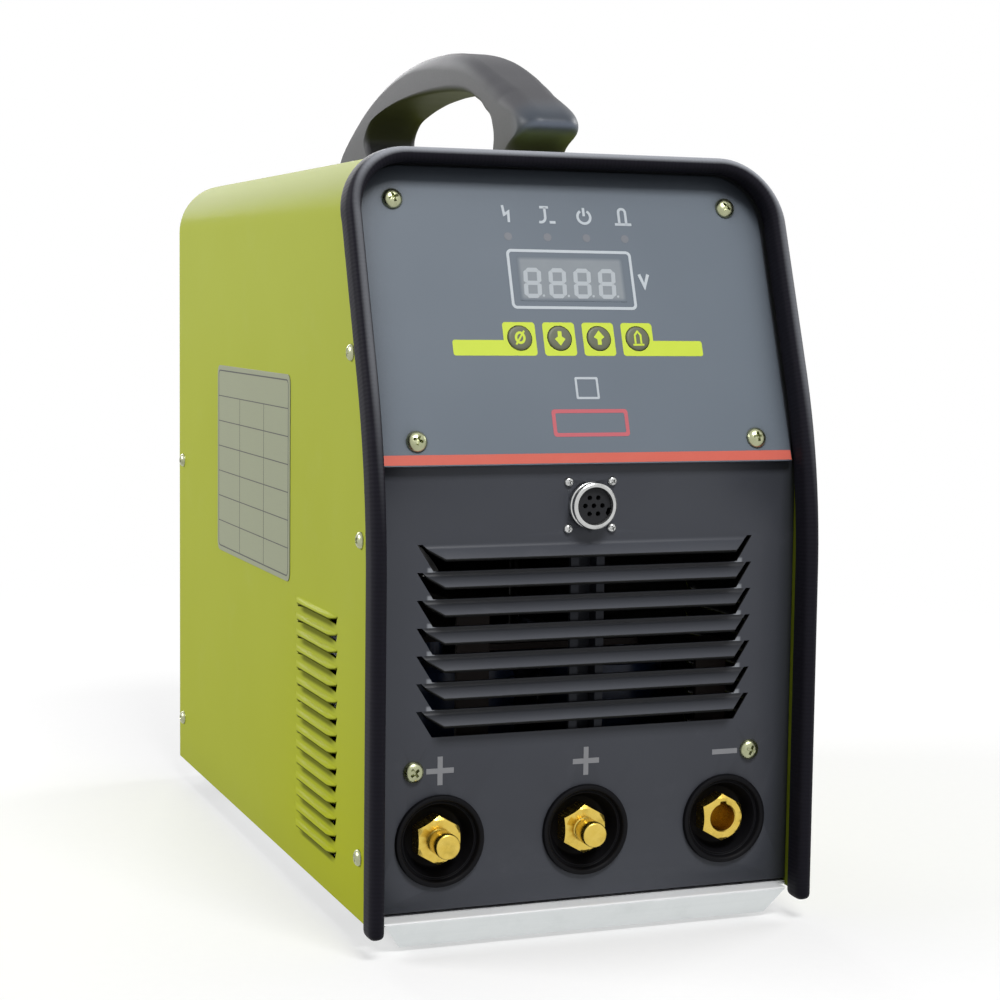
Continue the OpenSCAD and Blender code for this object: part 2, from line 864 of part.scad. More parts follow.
module negative_socket() {
  x = term_x[2];
  key_w = 3;
  key_top = term_z + bore_r + 1.2;
  key_d = 10;
  tail = 12;
  color("#c9b44a") difference() {
    union() {
      brass_hex(x, 0, collar_floor);
      rod_y(x, term_z, socket_r, panel_y + collar_floor, panel_y + bar_back + tail);
    }
    rod_y(x, term_z, bore_r, panel_y - 1, panel_y + bore_d);
    block([x - key_w / 2, panel_y - 1, term_z], [x + key_w / 2, panel_y + key_d, key_top]);
  }
}

module terminal_board() {
  edge = 8;
  low = term_z - 21;
  boss_r = 5;
  color("#7a5234") difference() {
    union() {
      bar(0, 2 * (front_screw_x + edge), collar_back, wall_board, low, front_screw_z + edge);
      for (x = [-1, 1])
        rod_y(x * front_screw_x, front_screw_z, boss_r, panel_y + panel_t, panel_y + wall_board);
    }
    for (i = [0 : 2])
      rod_y(term_x[i], term_z, (i == 2 ? socket_r : shank_r) + slack, panel_y, panel_y + wall_board + cut);
    for (x = [-1, 1])
      rod_y(x * front_screw_x, front_screw_z, m5 + slack, panel_y - cut, panel_y + wall_board + cut);
  }
}

module terminal_back_nuts() {
  back = panel_y + bar_back;
  h = 9;
  socket_af = 27;
  color("#c9b44a") for (i = [0 : 2]) difference() {
    hex_y(term_x[i], term_z, i == 2 ? socket_af : hex_af, back, back + h);
    rod_y(term_x[i], term_z, (i == 2 ? socket_r : shank_r) + shaft_gap, back - cut, back + cut);
  }
}

// Copper bars, capacitors and what charges and switches them

module positive_busbar() {
  riser_x = -cap_x - post_off;
  shelf_rise = 24;
  shelf_z = bar_z + shelf_rise;
  far = thyristor_y + thyristor_posts[1] + bar_w / 2;
  half = bar_w / 2;
  pad = 13;
  color("#b87333") difference() {
    union() {
      block(
        [term_x[0] - pad, panel_y + wall_board, term_z - pad],
        [term_x[1] + pad, panel_y + bar_back, term_z + pad]
      );
      bar(riser_x, bar_w, wall_board, bar_back, term_z, shelf_z + bar_t);
      bar(riser_x, bar_w, wall_board, far, shelf_z, shelf_z + bar_t);
      bar(riser_x, bar_w, far - bar_t, far, bar_z, shelf_z + bar_t);
      block([riser_x - half, panel_y + far - bar_w, bar_z], [half, panel_y + far, bar_z + bar_t]);
    }
    for (i = [0, 1]) rod_y(term_x[i], term_z, shank_r + slack, panel_y, panel_y + bar_back + cut);
  }
}

module negative_busbar() {
  x = term_x[2];
  outer = cap_x + post_off;
  inner = -cap_x + post_off;
  half = bar_w / 2;
  top = bar_z + bar_t;
  last = cap_y[1] + half;
  pad = 14;
  cross = 38;
  color("#b87333") difference() {
    union() {
      bar(x, 2 * pad, wall_board, bar_back, term_z - pad, term_z + pad);
      bar(x, bar_w, wall_board, bar_back, term_z, top);
      block([outer - half, panel_y + wall_board, bar_z], [x + half, panel_y + wall_board + bar_w, top]);
      bar(outer, bar_w, wall_board, last, bar_z, top);
      block([inner - half, panel_y + cross, bar_z], [outer, panel_y + cross + half, top]);
      bar(inner, bar_w, cross, last, bar_z, top);
    }
    rod_y(x, term_z, socket_r + slack, panel_y, panel_y + bar_back + cut);
  }
}

module capacitor_bar() {
  outer = -cap_x - post_off;
  inner = cap_x - post_off;
  half = bar_w / 2;
  first = cap_y[0] - half;
  cross = cap_y[1] + cap_r + 6;
  top = bar_z + bar_t;
  color("#b87333") {
    bar(outer, bar_w, first, cross + bar_w, bar_z, top);
    bar(inner, bar_w, first, cross + bar_w, bar_z, top);
    block([outer, panel_y + cross, bar_z], [inner, panel_y + cross + bar_w, top]);
    bar(0, bar_w, cross, thyristor_y + thyristor_posts[0] + half, bar_z, top);
  }
}

module capacitor(i) {
  x = (i % 2 == 1 ? -1 : 1) * cap_x;
  y = panel_y + cap_y[i < 3 ? 0 : 1];
  round = 2;
  can = [
    [0, 0], [cap_r - round, 0], [cap_r, round], [cap_r, cap_h - round], [cap_r - round, cap_h], [0, cap_h]
  ];
  color("#3a4a78") translate([x, y, floor_top]) {
    rotate_extrude() polygon(can);
    for (s = [-1, 1]) translate([s * post_off, 0, cap_h - 1]) cylinder(r = post_r, h = post_h + 1);
  }
}

module capacitor_clamp() {
  t = 2;
  z = floor_top + 0.6 * cap_h;
  edge = 6;
  w = cap_x + cap_r + edge;
  y0 = cap_y[0] - cap_r - edge;
  y1 = cap_y[1] + cap_r + edge;
  color("silver") difference() {
    union() {
      bar(0, 2 * w, y0, y1, z, z + t);
      for (s = [-1, 1]) bar(s * (w - t / 2), t, cap_y[0], cap_y[1], floor_top, z + t);
    }
    for (s = [-1, 1], y = cap_y)
      translate([s * cap_x, panel_y + y, z - t]) cylinder(r = cap_r + slack, h = 3 * t);
  }
}

module thyristor_module() {
  w = 34;
  l = 92;
  post = 5;
  color("#2a2a2c") {
    bar(0, w, thyristor_y, thyristor_y + l, sink_top, sink_top + thyristor_h);
    for (y = thyristor_posts)
      translate([0, panel_y + thyristor_y + y, sink_top + thyristor_h - 1])
        cylinder(r = post, h = thyristor_post + 1);
  }
}

module heatsink() {
  base_t = 10;
  fins = 11;
  fin_t = 3;
  step = (sink_w - fin_t) / (fins - 1);
  color("#b9bcc0") {
    bar(0, sink_w, sink_y0, sink_y1, sink_top - base_t, sink_top);
    for (i = [0 : fins - 1])
      bar((i - (fins - 1) / 2) * step, fin_t, sink_y0, sink_y1, floor_top, sink_top);
  }
}

module charger_board() {
  edge = 7;
  color("#2f6b45") difference() {
    bar(0, 2 * (charger_x + edge), charger_y[0] - edge, charger_y[1] + edge, charger_z, charger_z + board_t);
    at_posts() cylinder(r = m3 + slack, h = big);
  }
}

module at_posts() {
  for (x = [-1, 1], y = charger_y) translate([x * charger_x, panel_y + y, 0]) children();
}

module charger_posts() {
  color("gold") at_posts() {
    translate([0, 0, floor_top]) cylinder(r = 4, h = charger_z - floor_top);
    translate([0, 0, charger_z - 1]) cylinder(r = m3, h = board_t + 2);
    translate([0, 0, charger_z + board_t]) cylinder(r = head_m3, h = 2);
  }
}

module transformer() {
  z = charger_z + board_t;
  back = 38;
  y0 = charger_first + back;
  w = 64;
  d = 31;
  leg = 13;
  h = 50;
  coil = 10;
  color("#4a4a4e") {
    for (s = [-1, 1]) bar(s * (w - leg) / 2, leg, y0, y0 + d, z, z + h);
    bar(0, w, y0, y0 + d, z, z + leg);
    bar(0, w, y0, y0 + d, z + h - leg, z + h);
    bar(0, w - 2 * leg, y0 - coil, y0 + d + coil, z + leg, z + h - leg);
  }
}

// Handle

handle_mid = handle_y + handle_l * 0.47;
bolt_in = 24;
bolt_reach = 12;
handle_bolt_y = [
  handle_y + bolt_in, handle_y + front_leg - bolt_in / 3,
  handle_y + handle_l - rear_leg + bolt_in / 2, handle_y + handle_l - 1.5 * bolt_in
];

module at_handle_bolts() {
  for (y = handle_bolt_y) translate([0, panel_y + y, case_top]) children();
}

// Radius of an arc that falls by drop at a distance half from its top
function arc_r(half, drop) = (half * half + drop * drop) / (2 * drop);

module handle() {
  back = handle_y + handle_l;
  chin = 13;
  nose = 22;
  lean = 7;
  half = handle_w / 2;
  crown = 4;
  outer_fall = 49;
  under_fall = 12;
  outer_r = arc_r(handle_l * 0.5, outer_fall);
  under_r = arc_r(handle_l * 0.29, under_fall);
  color("#5c5d5f") translate([0, panel_y, case_top]) difference() {
    intersection() {
      along_x(handle_w) polygon([
        [handle_y + chin, 0], [handle_y, chin], [handle_y, nose], [handle_y + lean, handle_h],
        [back, handle_h], [back, 0]
      ]);
      translate([0, handle_mid, handle_h - outer_r]) rotate([0, 90, 0]) rotate_extrude($fn = 360) polygon([
        [0, -half], [outer_r - crown, -half], [outer_r - crown / 4, crown - half], [outer_r, 0],
        [outer_r - crown / 4, half - crown], [outer_r - crown, half], [0, half]
      ]);
    }
    along_x(2 * handle_w) intersection() {
      translate([handle_mid, handle_h - grip_t - under_r]) circle(under_r, $fn = 360);
      polygon([
        [handle_y + front_leg, -1], [handle_y + front_leg + lean, handle_h],
        [back - rear_leg + lean, handle_h], [back - rear_leg, -1]
      ]);
    }
    for (y = handle_bolt_y) translate([0, y, -1]) cylinder(r = m6 + slack, h = bolt_reach + 2);
  }
}

module handle_bolts() {
  color("gainsboro") at_handle_bolts() {
    translate([0, 0, -cover_t - nut_h_m6]) nut_up(nut_m6, nut_h_m6);
    translate([0, 0, -cover_t - 1]) cylinder(r = m6, h = cover_t + 1 + bolt_reach);
  }
}

module data_plate() {
  t = 0.5;
  color("#c9ccc4") block(
    [-case_w / 2 - t, panel_y + plate_y, plate_z],
    [-case_w / 2, panel_y + plate_y + plate_l, plate_z + plate_h]
  );
}

// Rear panel, fan, switch and gland

switch_w = 22;
switch_tall = 30;
switch_pocket_w = 18.6;
switch_sunk = 2;
pivot_r = 1.5;
pivot_in = 0.7;
gland_thread = 12.5;
gland_af = 30;

module rear_panel() {
  color("#45474c") difference() {
    union() {
      along_y(rear_face - panel_t, rear_face) arch(flange_in, floor_top);
      along_y(rear_face - rear_flange, rear_face) difference() {
        arch(flange_in, floor_top);
        arch(flange_in + panel_t, floor_top + panel_t);
      }
    }
    rod_y(0, fan_z, fan_bore, rear_face - cut, rear_face + cut);
    at_fan_screws() rod_y(0, 0, m4 + slack, rear_face - cut, rear_face + cut);
    rod_y(rear_row_x, rear_row_z, gland_thread + slack, rear_face - cut, rear_face + cut);
    translate([-rear_row_x, rear_face, rear_row_z])
      cube([switch_w + 2 * slack, 2 * cut, switch_tall + 2 * slack], center = true);
    cover_screw_holes();
  }
}

fan_plate = 4;
fan_tube_r = 5;
fan_tube_y = fan_y + 8;

module fan_frame() {
  strut = 6;
  back = fan_y + fan_d;
  web = back - fan_plate;
  color("#242426") difference() {
    translate([0, fan_y + fan_d / 2, fan_z]) cube([fan_w, fan_d, fan_w], center = true);
    difference() {
      rod_y(0, fan_z, fan_bore, fan_y - 1, back + 1);
      rod_y(0, fan_z, hub_r, web, back + 2);
      rod_y(0, fan_z, fan_tube_r, fan_tube_y, back + 2);
      for (a = [45 : 90 : 315]) translate([0, web, fan_z]) rotate([0, a, 0])
        translate([-strut / 2, 0, 0]) cube([strut, fan_plate + 2, fan_w]);
    }
    rod_y(0, fan_z, fan_shaft_r + shaft_gap, fan_tube_y - 2, back - 2);
    at_fan_screws() rod_y(0, 0, m4 + slack, fan_y - 1, back + 1);
  }
}

module fan_rotor() {
  blades = 7;
  pitch = 38;
  tip = fan_bore - 2;
  blade_t = 1.6;
  front = fan_y + 2;
  deep = fan_d - 2 * fan_plate;
  wall = 2;
  far = fan_y + fan_d;
  color("#2c2c2f") difference() {
    union() {
      rod_y(0, fan_z, hub_r, front, front + deep);
      intersection() {
        for (i = [0 : blades - 1]) translate([0, front + deep / 2, fan_z]) rotate([0, i * 360 / blades, 0])
          rotate([0, 0, pitch]) translate([-deep, -blade_t / 2, hub_r - 4]) cube([2 * deep, blade_t, tip]);
        rod_y(0, fan_z, tip, front, front + deep);
      }
      rod_y(0, fan_z, fan_shaft_r, front, far - fan_plate + 1);
    }
    difference() {
      rod_y(0, fan_z, fan_tube_r + 1, fan_tube_y - wall, far);
      rod_y(0, fan_z, fan_shaft_r, front, far);
    }
    difference() {
      rod_y(0, fan_z, hub_r - wall, fan_tube_y + wall, far);
      rod_y(0, fan_z, fan_tube_r + 3, front, far);
    }
  }
}

guard_ear = 2;

module fan_guard() {
  wire = 1.1;
  first = 16;
  step = 10.5;
  mid = rear_face + 2 * wire;
  spoke = fan_bolt / sqrt(2) - 14;
  color("silver") difference() {
    union() {
      for (r = [first : step : fan_bore + 1]) translate([0, mid, fan_z]) rotate([90, 0, 0]) rotate_extrude()
        translate([r, 0]) circle(wire, $fn = 16);
      for (a = [45 : 90 : 315]) translate([0, mid - 0.7 * wire, fan_z]) rotate([0, a, 0])
        translate([0, 0, first - 6]) cylinder(r = wire, h = spoke, $fn = 16);
      at_fan_screws() rod_y(0, 0, head_m5, rear_face, rear_face + guard_ear);
    }
    at_fan_screws() rod_y(0, 0, m4 + slack, rear_face - cut, rear_face + cut);
  }
}

module fan_screws() {
  seat = rear_face + guard_ear;
  color("gainsboro") at_fan_screws() {
    rod_y(0, 0, head_m4, seat, seat + head_h);
    rod_y(0, 0, m4, fan_y - nut_h_m4 - 1, seat + 1);
    hex_y(0, 0, nut_m4, fan_y - nut_h_m4, fan_y);
  }
}

// Places children at the mains switch's pivot
module at_switch() {
  translate([-rear_row_x, rear_face - switch_sunk, rear_row_z]) children();
}

module switch_body() {
  rim = 2;
  deep = 22;
  pocket_h = 27;
  pocket_d = 10;
  half = [switch_w / 2, 0, switch_tall / 2];
  out = half + [rim, 0, rim];
  color("#1e1e20") at_switch() difference() {
    union() {
      block(-half - [0, deep, 0], half + [0, switch_sunk, 0]);
      block(-out + [0, switch_sunk, 0], out + [0, switch_sunk + rim, 0]);
    }
    block([-switch_pocket_w / 2, -pocket_d, -pocket_h / 2], [switch_pocket_w / 2, cut, pocket_h / 2]);
    rotate([0, 90, 0])
      cylinder(r = pivot_r + shaft_gap, h = switch_pocket_w + 2 * (pivot_in + run_gap), center = true);
  }
}

module switch_rocker() {
  half = 12;
  dip = 4.5;
  tip = 6.7;
  edge = 1.5;
  keel = 4;
  color("#b03030") at_switch() rotate([rocker_tilt / 2, 0, 0]) {
    along_x(switch_pocket_w - 2 * run_gap) polygon([
      [-keel, -keel], [edge, -half], [tip, -half], [dip, 0], [tip, half], [edge, half], [-keel, keel]
    ]);
    rotate([0, 90, 0]) cylinder(r = pivot_r, h = switch_pocket_w + 2 * pivot_in, center = true);
  }
}

module cable_gland() {
  inside = 12;
  flange_h = 7;
  locknut_h = 6;
  dome_r = 14.2;
  color("#1a1a1c") difference() {
    union() {
      hex_y(rear_row_x, rear_row_z, gland_af, rear_face, rear_face + flange_h);
      translate([rear_row_x, rear_face, rear_row_z]) rotate([-90, 0, 0]) rotate_extrude() polygon([
        [0, -inside], [gland_thread, -inside], [gland_thread, 0], [dome_r, flange_h - 1],
        [dome_r, gland_reach - flange_h], [gland_bore + 4, gland_reach], [0, gland_reach]
      ]);
      hex_y(rear_row_x, rear_row_z, gland_af, rear_face - panel_t - locknut_h, rear_face - panel_t);
    }
    rod_y(rear_row_x, rear_row_z, gland_bore, rear_face - inside - 1, rear_face + gland_reach + 1);
  }
}

base_tray();
feet();
foot_screws();
cover();
edge_trim();
cover_screws();
front_panel();
louvre_stiffener();
front_panel_screws();
control_panel();
keypad_overlay();
control_panel_screws();
for (i = [1 : 4]) key(i);
display_window();
display_module();
indicator_leds();
control_board();
key_switches();
board_standoffs();
gun_socket_shell();
gun_socket_insert();
gun_socket_screws();
for (i = [1 : 3]) terminal_collar(i);
for (i = [1 : 2]) positive_stud(i);
for (i = [1 : 2]) positive_nut(i);
negative_socket();
terminal_board();
terminal_back_nuts();
positive_busbar();
negative_busbar();
capacitor_bar();
for (i = [1 : 4]) capacitor(i);
capacitor_clamp();
thyristor_module();
heatsink();
charger_board();
charger_posts();
transformer();
handle();
handle_bolts();
data_plate();
rear_panel();
fan_frame();
fan_rotor();
fan_guard();
fan_screws();
switch_body();
switch_rocker();
cable_gland();
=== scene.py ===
import math

import bmesh
import bpy
from mathutils import Matrix, Vector


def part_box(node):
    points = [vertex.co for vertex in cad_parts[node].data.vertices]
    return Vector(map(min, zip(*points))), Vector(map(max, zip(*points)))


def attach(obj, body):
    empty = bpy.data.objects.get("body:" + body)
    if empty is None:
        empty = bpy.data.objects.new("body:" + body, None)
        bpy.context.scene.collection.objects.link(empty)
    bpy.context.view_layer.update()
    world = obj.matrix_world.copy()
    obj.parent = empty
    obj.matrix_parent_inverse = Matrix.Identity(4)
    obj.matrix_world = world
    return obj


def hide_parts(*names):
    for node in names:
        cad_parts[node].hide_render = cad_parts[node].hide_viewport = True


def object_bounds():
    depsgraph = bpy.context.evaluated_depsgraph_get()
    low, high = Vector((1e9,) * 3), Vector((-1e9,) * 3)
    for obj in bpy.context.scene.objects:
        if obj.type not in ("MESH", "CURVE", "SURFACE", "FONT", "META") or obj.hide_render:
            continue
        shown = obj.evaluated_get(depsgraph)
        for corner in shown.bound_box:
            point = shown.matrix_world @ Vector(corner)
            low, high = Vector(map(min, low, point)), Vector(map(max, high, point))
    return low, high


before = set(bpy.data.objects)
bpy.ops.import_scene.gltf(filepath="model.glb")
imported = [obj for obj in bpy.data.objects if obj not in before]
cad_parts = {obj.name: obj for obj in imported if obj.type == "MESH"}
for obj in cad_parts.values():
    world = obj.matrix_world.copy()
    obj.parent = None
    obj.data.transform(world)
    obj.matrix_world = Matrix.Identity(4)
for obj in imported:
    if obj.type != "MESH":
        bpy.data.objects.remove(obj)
cad_low, cad_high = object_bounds()
scene = bpy.context.scene
scene.view_settings.view_transform = "Standard"
MM = 0.001


# ---------------------------------------------------------------- camera

LENS, SENSOR = 77.95, 36
CAMERA_SPOT = Vector((-397.0, -1117.7, 297.7)) * MM
YAW, PITCH, ROLL = (math.radians(a) for a in (-20.84, -5.28, 0.72))


def stand_camera():
    """The camera stands in front of the case, to its left, and looks a little down."""
    data = bpy.data.cameras.new("camera")
    data.lens, data.sensor_width, data.clip_end = LENS, SENSOR, 60
    camera = bpy.data.objects.new("camera", data)
    scene.collection.objects.link(camera)
    ahead = Vector((-math.sin(YAW) * math.cos(PITCH), math.cos(YAW) * math.cos(PITCH), math.sin(PITCH)))
    right = ahead.cross(Vector((0, 0, 1))).normalized()
    up = right.cross(ahead)
    level = math.cos(ROLL) * right + math.sin(ROLL) * up
    upright = math.cos(ROLL) * up - math.sin(ROLL) * right
    turn = Matrix((level, upright, -ahead)).transposed().to_4x4()
    camera.matrix_world = Matrix.Translation(CAMERA_SPOT) @ turn
    scene.camera = camera


stand_camera()


# ---------------------------------------------------------------- sizes, in millimetres

def corners(node):
    """A solid's lowest and highest corners."""
    low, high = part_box(node)
    return Vector(low) / MM, Vector(high) / MM


COVER_LOW, COVER_HIGH = corners("cover")
TRIM_LOW, TRIM_HIGH = corners("edge_trim")
TRIM_OUT = 3                            # how far the edging stands out of the cover
FRONT_Y, REAR_Y = TRIM_LOW.y, COVER_HIGH.y
PANEL_Y = FRONT_Y + 20                  # the front sheet's face
HALF, TOP = TRIM_HIGH.x - TRIM_OUT, TRIM_HIGH.z - TRIM_OUT
CORNER_R = 29                           # the cover's upper corners
SHEET = 1.5
RAKE = math.radians(19.5)               # how far the front's upper part leans back
RAKE_Z, RAKE_BLEND = 220, 285           # where the cover's edge starts to lean, and the radius there
BEND_Z, OVERHANG = 227, 5.5             # the front sheet's bend, and the control panel's reach below it
NOSE = 2.5                              # the edging's thickness in front of the cover's edge
TRAY_TOP = 15
FILM = 2.4                              # the film's face above the leaning sheet
PRINT, DIGIT = 0.06, 0.03               # the thickness of prints and of the digits' bars
PANEL_GAP, PANEL_FLANGE = 1.8, 16
KEY_X = [-30, -10, 10, 30]
KEY_V, DISPLAY_V, LAMP_V = 61, 89.3, 111.3
WINDOW_V = DISPLAY_V + 1.2
KEY_TOP = FILM + 0.66
PLATE_SCREW_X, PLATE_SCREW_V = 85.7, (11.5, 128.475)
PANEL_SCREW_X, PANEL_SCREW_Z = 85.8, 82
SCREW_HOLE = 2.6
TERM_X, TERM_Z, TERM_HOLE = [-72.8, 0, 72.8], 49, 19.7
SOCKET_BORE = 6.5
GUN_Z, GUN_HOLE, GUN_SCREW, GUN_SCREW_HOLE = 203, 10.65, 11, 1.6
LOUVRE_PITCH, VENT_PITCH = 12.78, 8.05
LOUVRE_Z = [186.6 - LOUVRE_PITCH * i for i in range(7)]
VENT_Z = [36.4 + VENT_PITCH * i for i in range(15)]
VENT_Y = PANEL_Y + 81.5                 # the middle of the side vents
HANDLE_Y, HANDLE_LONG, HANDLE_HALF = PANEL_Y + 53, 320, 15.8
FIFTHS = (-1, -0.5, 0, 0.5, 1)          # five places across a louvre


def edge_y(z, d):
    """Where the line that runs d behind the case's leaning front edge passes height z."""
    k = math.tan(RAKE / 2)
    r = max(RAKE_BLEND - d, 0)
    corner_y, corner_z = FRONT_Y + d, RAKE_Z - d * k
    low, high = corner_z - r * k, corner_z + r * k * math.cos(RAKE)
    if z <= low:
        return corner_y
    if z >= high:
        return corner_y + (z - corner_z) * math.tan(RAKE)
    return corner_y + r - math.sqrt(r * r - (z - low) ** 2)


def on_rake(x, v, n):
    """A place on the leaning panel: v up along it, n out of it."""
    up = v - OVERHANG
    return (x, PANEL_Y + up * math.sin(RAKE) - n * math.cos(RAKE),
            BEND_Z + up * math.cos(RAKE) + n * math.sin(RAKE))


# Each of these gives a place on one of the case's faces: a to the right, b up, n out of the face.

def rake_at(x, v):
    return lambda a, b, n: on_rake(x + a, v + b, n)


def front_at(x, z):
    return lambda a, b, n: (x + a, PANEL_Y - n, z + b)


def left_at(y, z):
    return lambda a, b, n: (-HALF - n, y - a, z + b)


def right_at(y, z):
    return lambda a, b, n: (HALF + n, y + a, z + b)


# ---------------------------------------------------------------- finishes

def tint(code):
    """A written colour as light."""
    parts = [int(code[i:i + 2], 16) / 255 for i in (1, 3, 5)]
    return tuple(c / 12.92 if c <= 0.04045 else ((c + 0.055) / 1.055) ** 2.4 for c in parts) + (1.0,)


class Value:
    """A number that changes over a surface. Python's operators add Math nodes to it."""

    def __init__(self, tree, socket):
        self.tree, self.socket = tree, socket

    def maths(self, kind, *numbers):
        """A Math node of that kind on values and plain numbers."""
        node = self.tree.node("Math", {"operation": kind}, dict(enumerate(numbers)))
        return Value(self.tree, node.outputs[0])

    def __add__(self, other): return self.maths("ADD", self, other)
    def __radd__(self, other): return self.maths("ADD", other, self)
    def __sub__(self, other): return self.maths("SUBTRACT", self, other)
    def __rsub__(self, other): return self.maths("SUBTRACT", other, self)
    def __mul__(self, other): return self.maths("MULTIPLY", self, other)
    def __rmul__(self, other): return self.maths("MULTIPLY", other, self)
    def __truediv__(self, other): return self.maths("DIVIDE", self, other)
    def __pow__(self, other): return self.maths("POWER", self, other)
    def __lt__(self, other): return self.maths("LESS_THAN", self, other)

    def sine(self): return self.maths("SINE", self)
    def size(self): return self.maths("ABSOLUTE", self)
    def part(self): return self.maths("FRACT", self)
    def at_least(self, other): return self.maths("MAXIMUM", self, other)


class Nodes:
    """An emptied node tree and the one way in which nodes are added to it."""

    def __init__(self, tree):
        self.tree = tree
        tree.nodes.clear()

    def node(self, kind, settings=None, sockets=None):
        """A node of that kind: its settings are set first, then its sockets are set or linked."""
        made = self.tree.nodes.new("ShaderNode" + kind)
        for key, value in (settings or {}).items():
            setattr(made, key, value)
        for key, value in (sockets or {}).items():
            self.feed(made.inputs[key], value)
        return made

    def feed(self, socket, value):
        """Links a value to a socket, or sets it there."""
        if isinstance(value, Value):
            value = value.socket
        if isinstance(value, bpy.types.NodeSocket):
            self.tree.links.new(value, socket)
        else:
            socket.default_value = value

    def ray_is(self, kind):
        """1 where the ray that looks is of that kind."""
        return Value(self, self.node("LightPath").outputs["Is %s Ray" % kind])


class Finish(Nodes):
    """A material and the nodes that it is made of."""

    def __init__(self, name, **fixed):
        self.material = bpy.data.materials.new(name)
        self.material.use_nodes = True
        super().__init__(self.material.node_tree)
        self.shader = self.node("BsdfPrincipled", None, {k.replace("_", " "): v for k, v in fixed.items()})
        self.end = self.node("OutputMaterial", None, {"Surface": self.shader.outputs[0]})

    def place(self):
        """Where a point is, in metres in the part's frame."""
        return self.node("TexCoord").outputs["Object"]

    def axes(self):
        """The same in millimetres, as three values."""
        split = self.node("SeparateXYZ", None, {0: self.place()})
        return [Value(self, split.outputs[i]) * 1000 for i in range(3)]

    def noise(self, size, detail=2.0, rough=0.5, stretch=(1, 1, 1)):
        """Cloudy variation, size millimetres from one cloud to the next."""
        spot = self.node("Mapping", {"vector_type": "POINT"}, {"Vector": self.place(), "Scale": stretch}).outputs[0]
        node = self.node("TexNoise", None, {"Vector": spot, "Scale": 1 / (size * MM), "Detail": detail,
                                            "Roughness": rough})
        return Value(self, node.outputs["Fac"])

    def cells(self, size, feature="F1"):
        """Cells of about that size in millimetres."""
        return self.node("TexVoronoi", {"feature": feature}, {"Vector": self.place(), "Scale": 1 / (size * MM)})

    def steps(self, value, low, high):
        """0 below low, 1 above high, smooth between."""
        node = self.node("MapRange", {"interpolation_type": "SMOOTHSTEP"},
                         {"Value": value, "From Min": low, "From Max": high})
        return Value(self, node.outputs[0])

    def along(self):
        """The length run along a swept piece, in millimetres."""
        node = self.node("Attribute", {"attribute_name": "along"})
        return Value(self, node.outputs["Fac"])

    def turned_to(self, way):
        """How far a face looks that way: 1 straight at it, 0 across it."""
        flat = self.node("NewGeometry").outputs["Normal"]
        dot = self.node("VectorMath", {"operation": "DOT_PRODUCT"}, {0: flat, 1: way})
        return Value(self, dot.outputs["Value"])

    def edges(self, reach):
        """1 along a piece's edges, 0 on its flats."""
        soft = self.node("Bevel", {"samples": 4}, {"Radius": reach * MM}).outputs[0]
        return self.steps(1 - self.turned_to(soft), 0.02, 0.25)

    def facing(self, x, y, z, low, high):
        """1 where a face looks that way."""
        return self.steps(self.turned_to((x, y, z)), low, high)

    def corners(self, reach):
        """1 deep in corners and under edges, 0 in the open."""
        node = self.node("AmbientOcclusion", {"samples": 6}, {"Distance": reach * MM})
        return 1 - Value(self, node.outputs["AO"])

    def mix(self, share, first, second):
        """The first colour, with that share of the second over it."""
        node = self.node("Mix", {"data_type": "RGBA"}, {0: share, 6: first, 7: second})
        return node.outputs[2]

    def give(self, **sockets):
        """Feeds the shader's sockets by name."""
        for key, value in sockets.items():
            self.feed(self.shader.inputs[key.replace("_", " ")], value)

    def relief(self, height, depth, strength=0.5):
        """Fine relief of that depth in millimetres."""
        bump = self.node("Bump", None, {"Height": height, "Distance": depth * MM, "Strength": strength})
        self.feed(self.shader.inputs["Normal"], bump.outputs[0])


def cover_paint():
    """Green paint: cloudy and dusted, with painted light: yellower low down and paler high up as painted sheen,
    painted shade on its up-facing top, and a painted shadow under each vent's lip.
    """
    f = Finish("cover_paint", Specular_IOR_Level=0.0, Coat_Weight=0.13, Coat_Roughness=0.3)
    _, y, z = f.axes()
    cloud, grain = f.noise(90, 3), f.noise(1.1, 2)
    dust = f.steps(f.noise(38, 5, 0.65), 0.52, 0.78)
    base = f.mix(cloud, tint("#ABB33B"), tint("#B2BB47"))
    base = f.mix(dust * 0.12, base, tint("#BAC272"))
    # painted sheen: yellower low down and at the front, paler high up
    low = (1 - f.steps(z, 14, 210)) * (1 - f.steps(y, -150, 60) * 0.6)
    base = f.mix(low * 0.85, base, tint("#B0B61A"))
    base = f.mix(f.steps(z, 200, 330) * 0.35, base, tint("#B3BE5C"))
    base = f.mix(f.edges(1.2) * 0.15, base, tint("#BFC76C"))
    # painted shadow under each vent's lip, darkest just below it and fading towards the vents' ends
    under = ((VENT_Z[-1] - z) / VENT_PITCH).part() * VENT_PITCH
    lip_shadow = f.steps(under, 2.0, 2.6) * (1 - f.steps(under, 5.6, 8.0))
    lip_shadow = lip_shadow * f.steps(z, VENT_Z[0] - 7.6, VENT_Z[0] - 6.8) * (1 - f.steps(z, VENT_Z[-1] - 0.5, VENT_Z[-1]))
    reach = (y - (PANEL_Y + 79)).size()
    base = f.mix(lip_shadow * (1 - f.steps(reach, 22, 34)) * 0.95, base, tint("#666B04"))
    # painted shade on the up-facing top near the crown
    above = f.steps(z, TOP - 50, TOP - 18)
    base = f.mix(f.facing(-0.35, 0, 0.94, 0.34, 0.9) * above * 0.75, base, tint("#7C8436"))
    f.give(Base_Color=base, Roughness=0.4 + grain * 0.12 + dust * 0.06)
    f.relief(grain, 0.03)
    return f.material


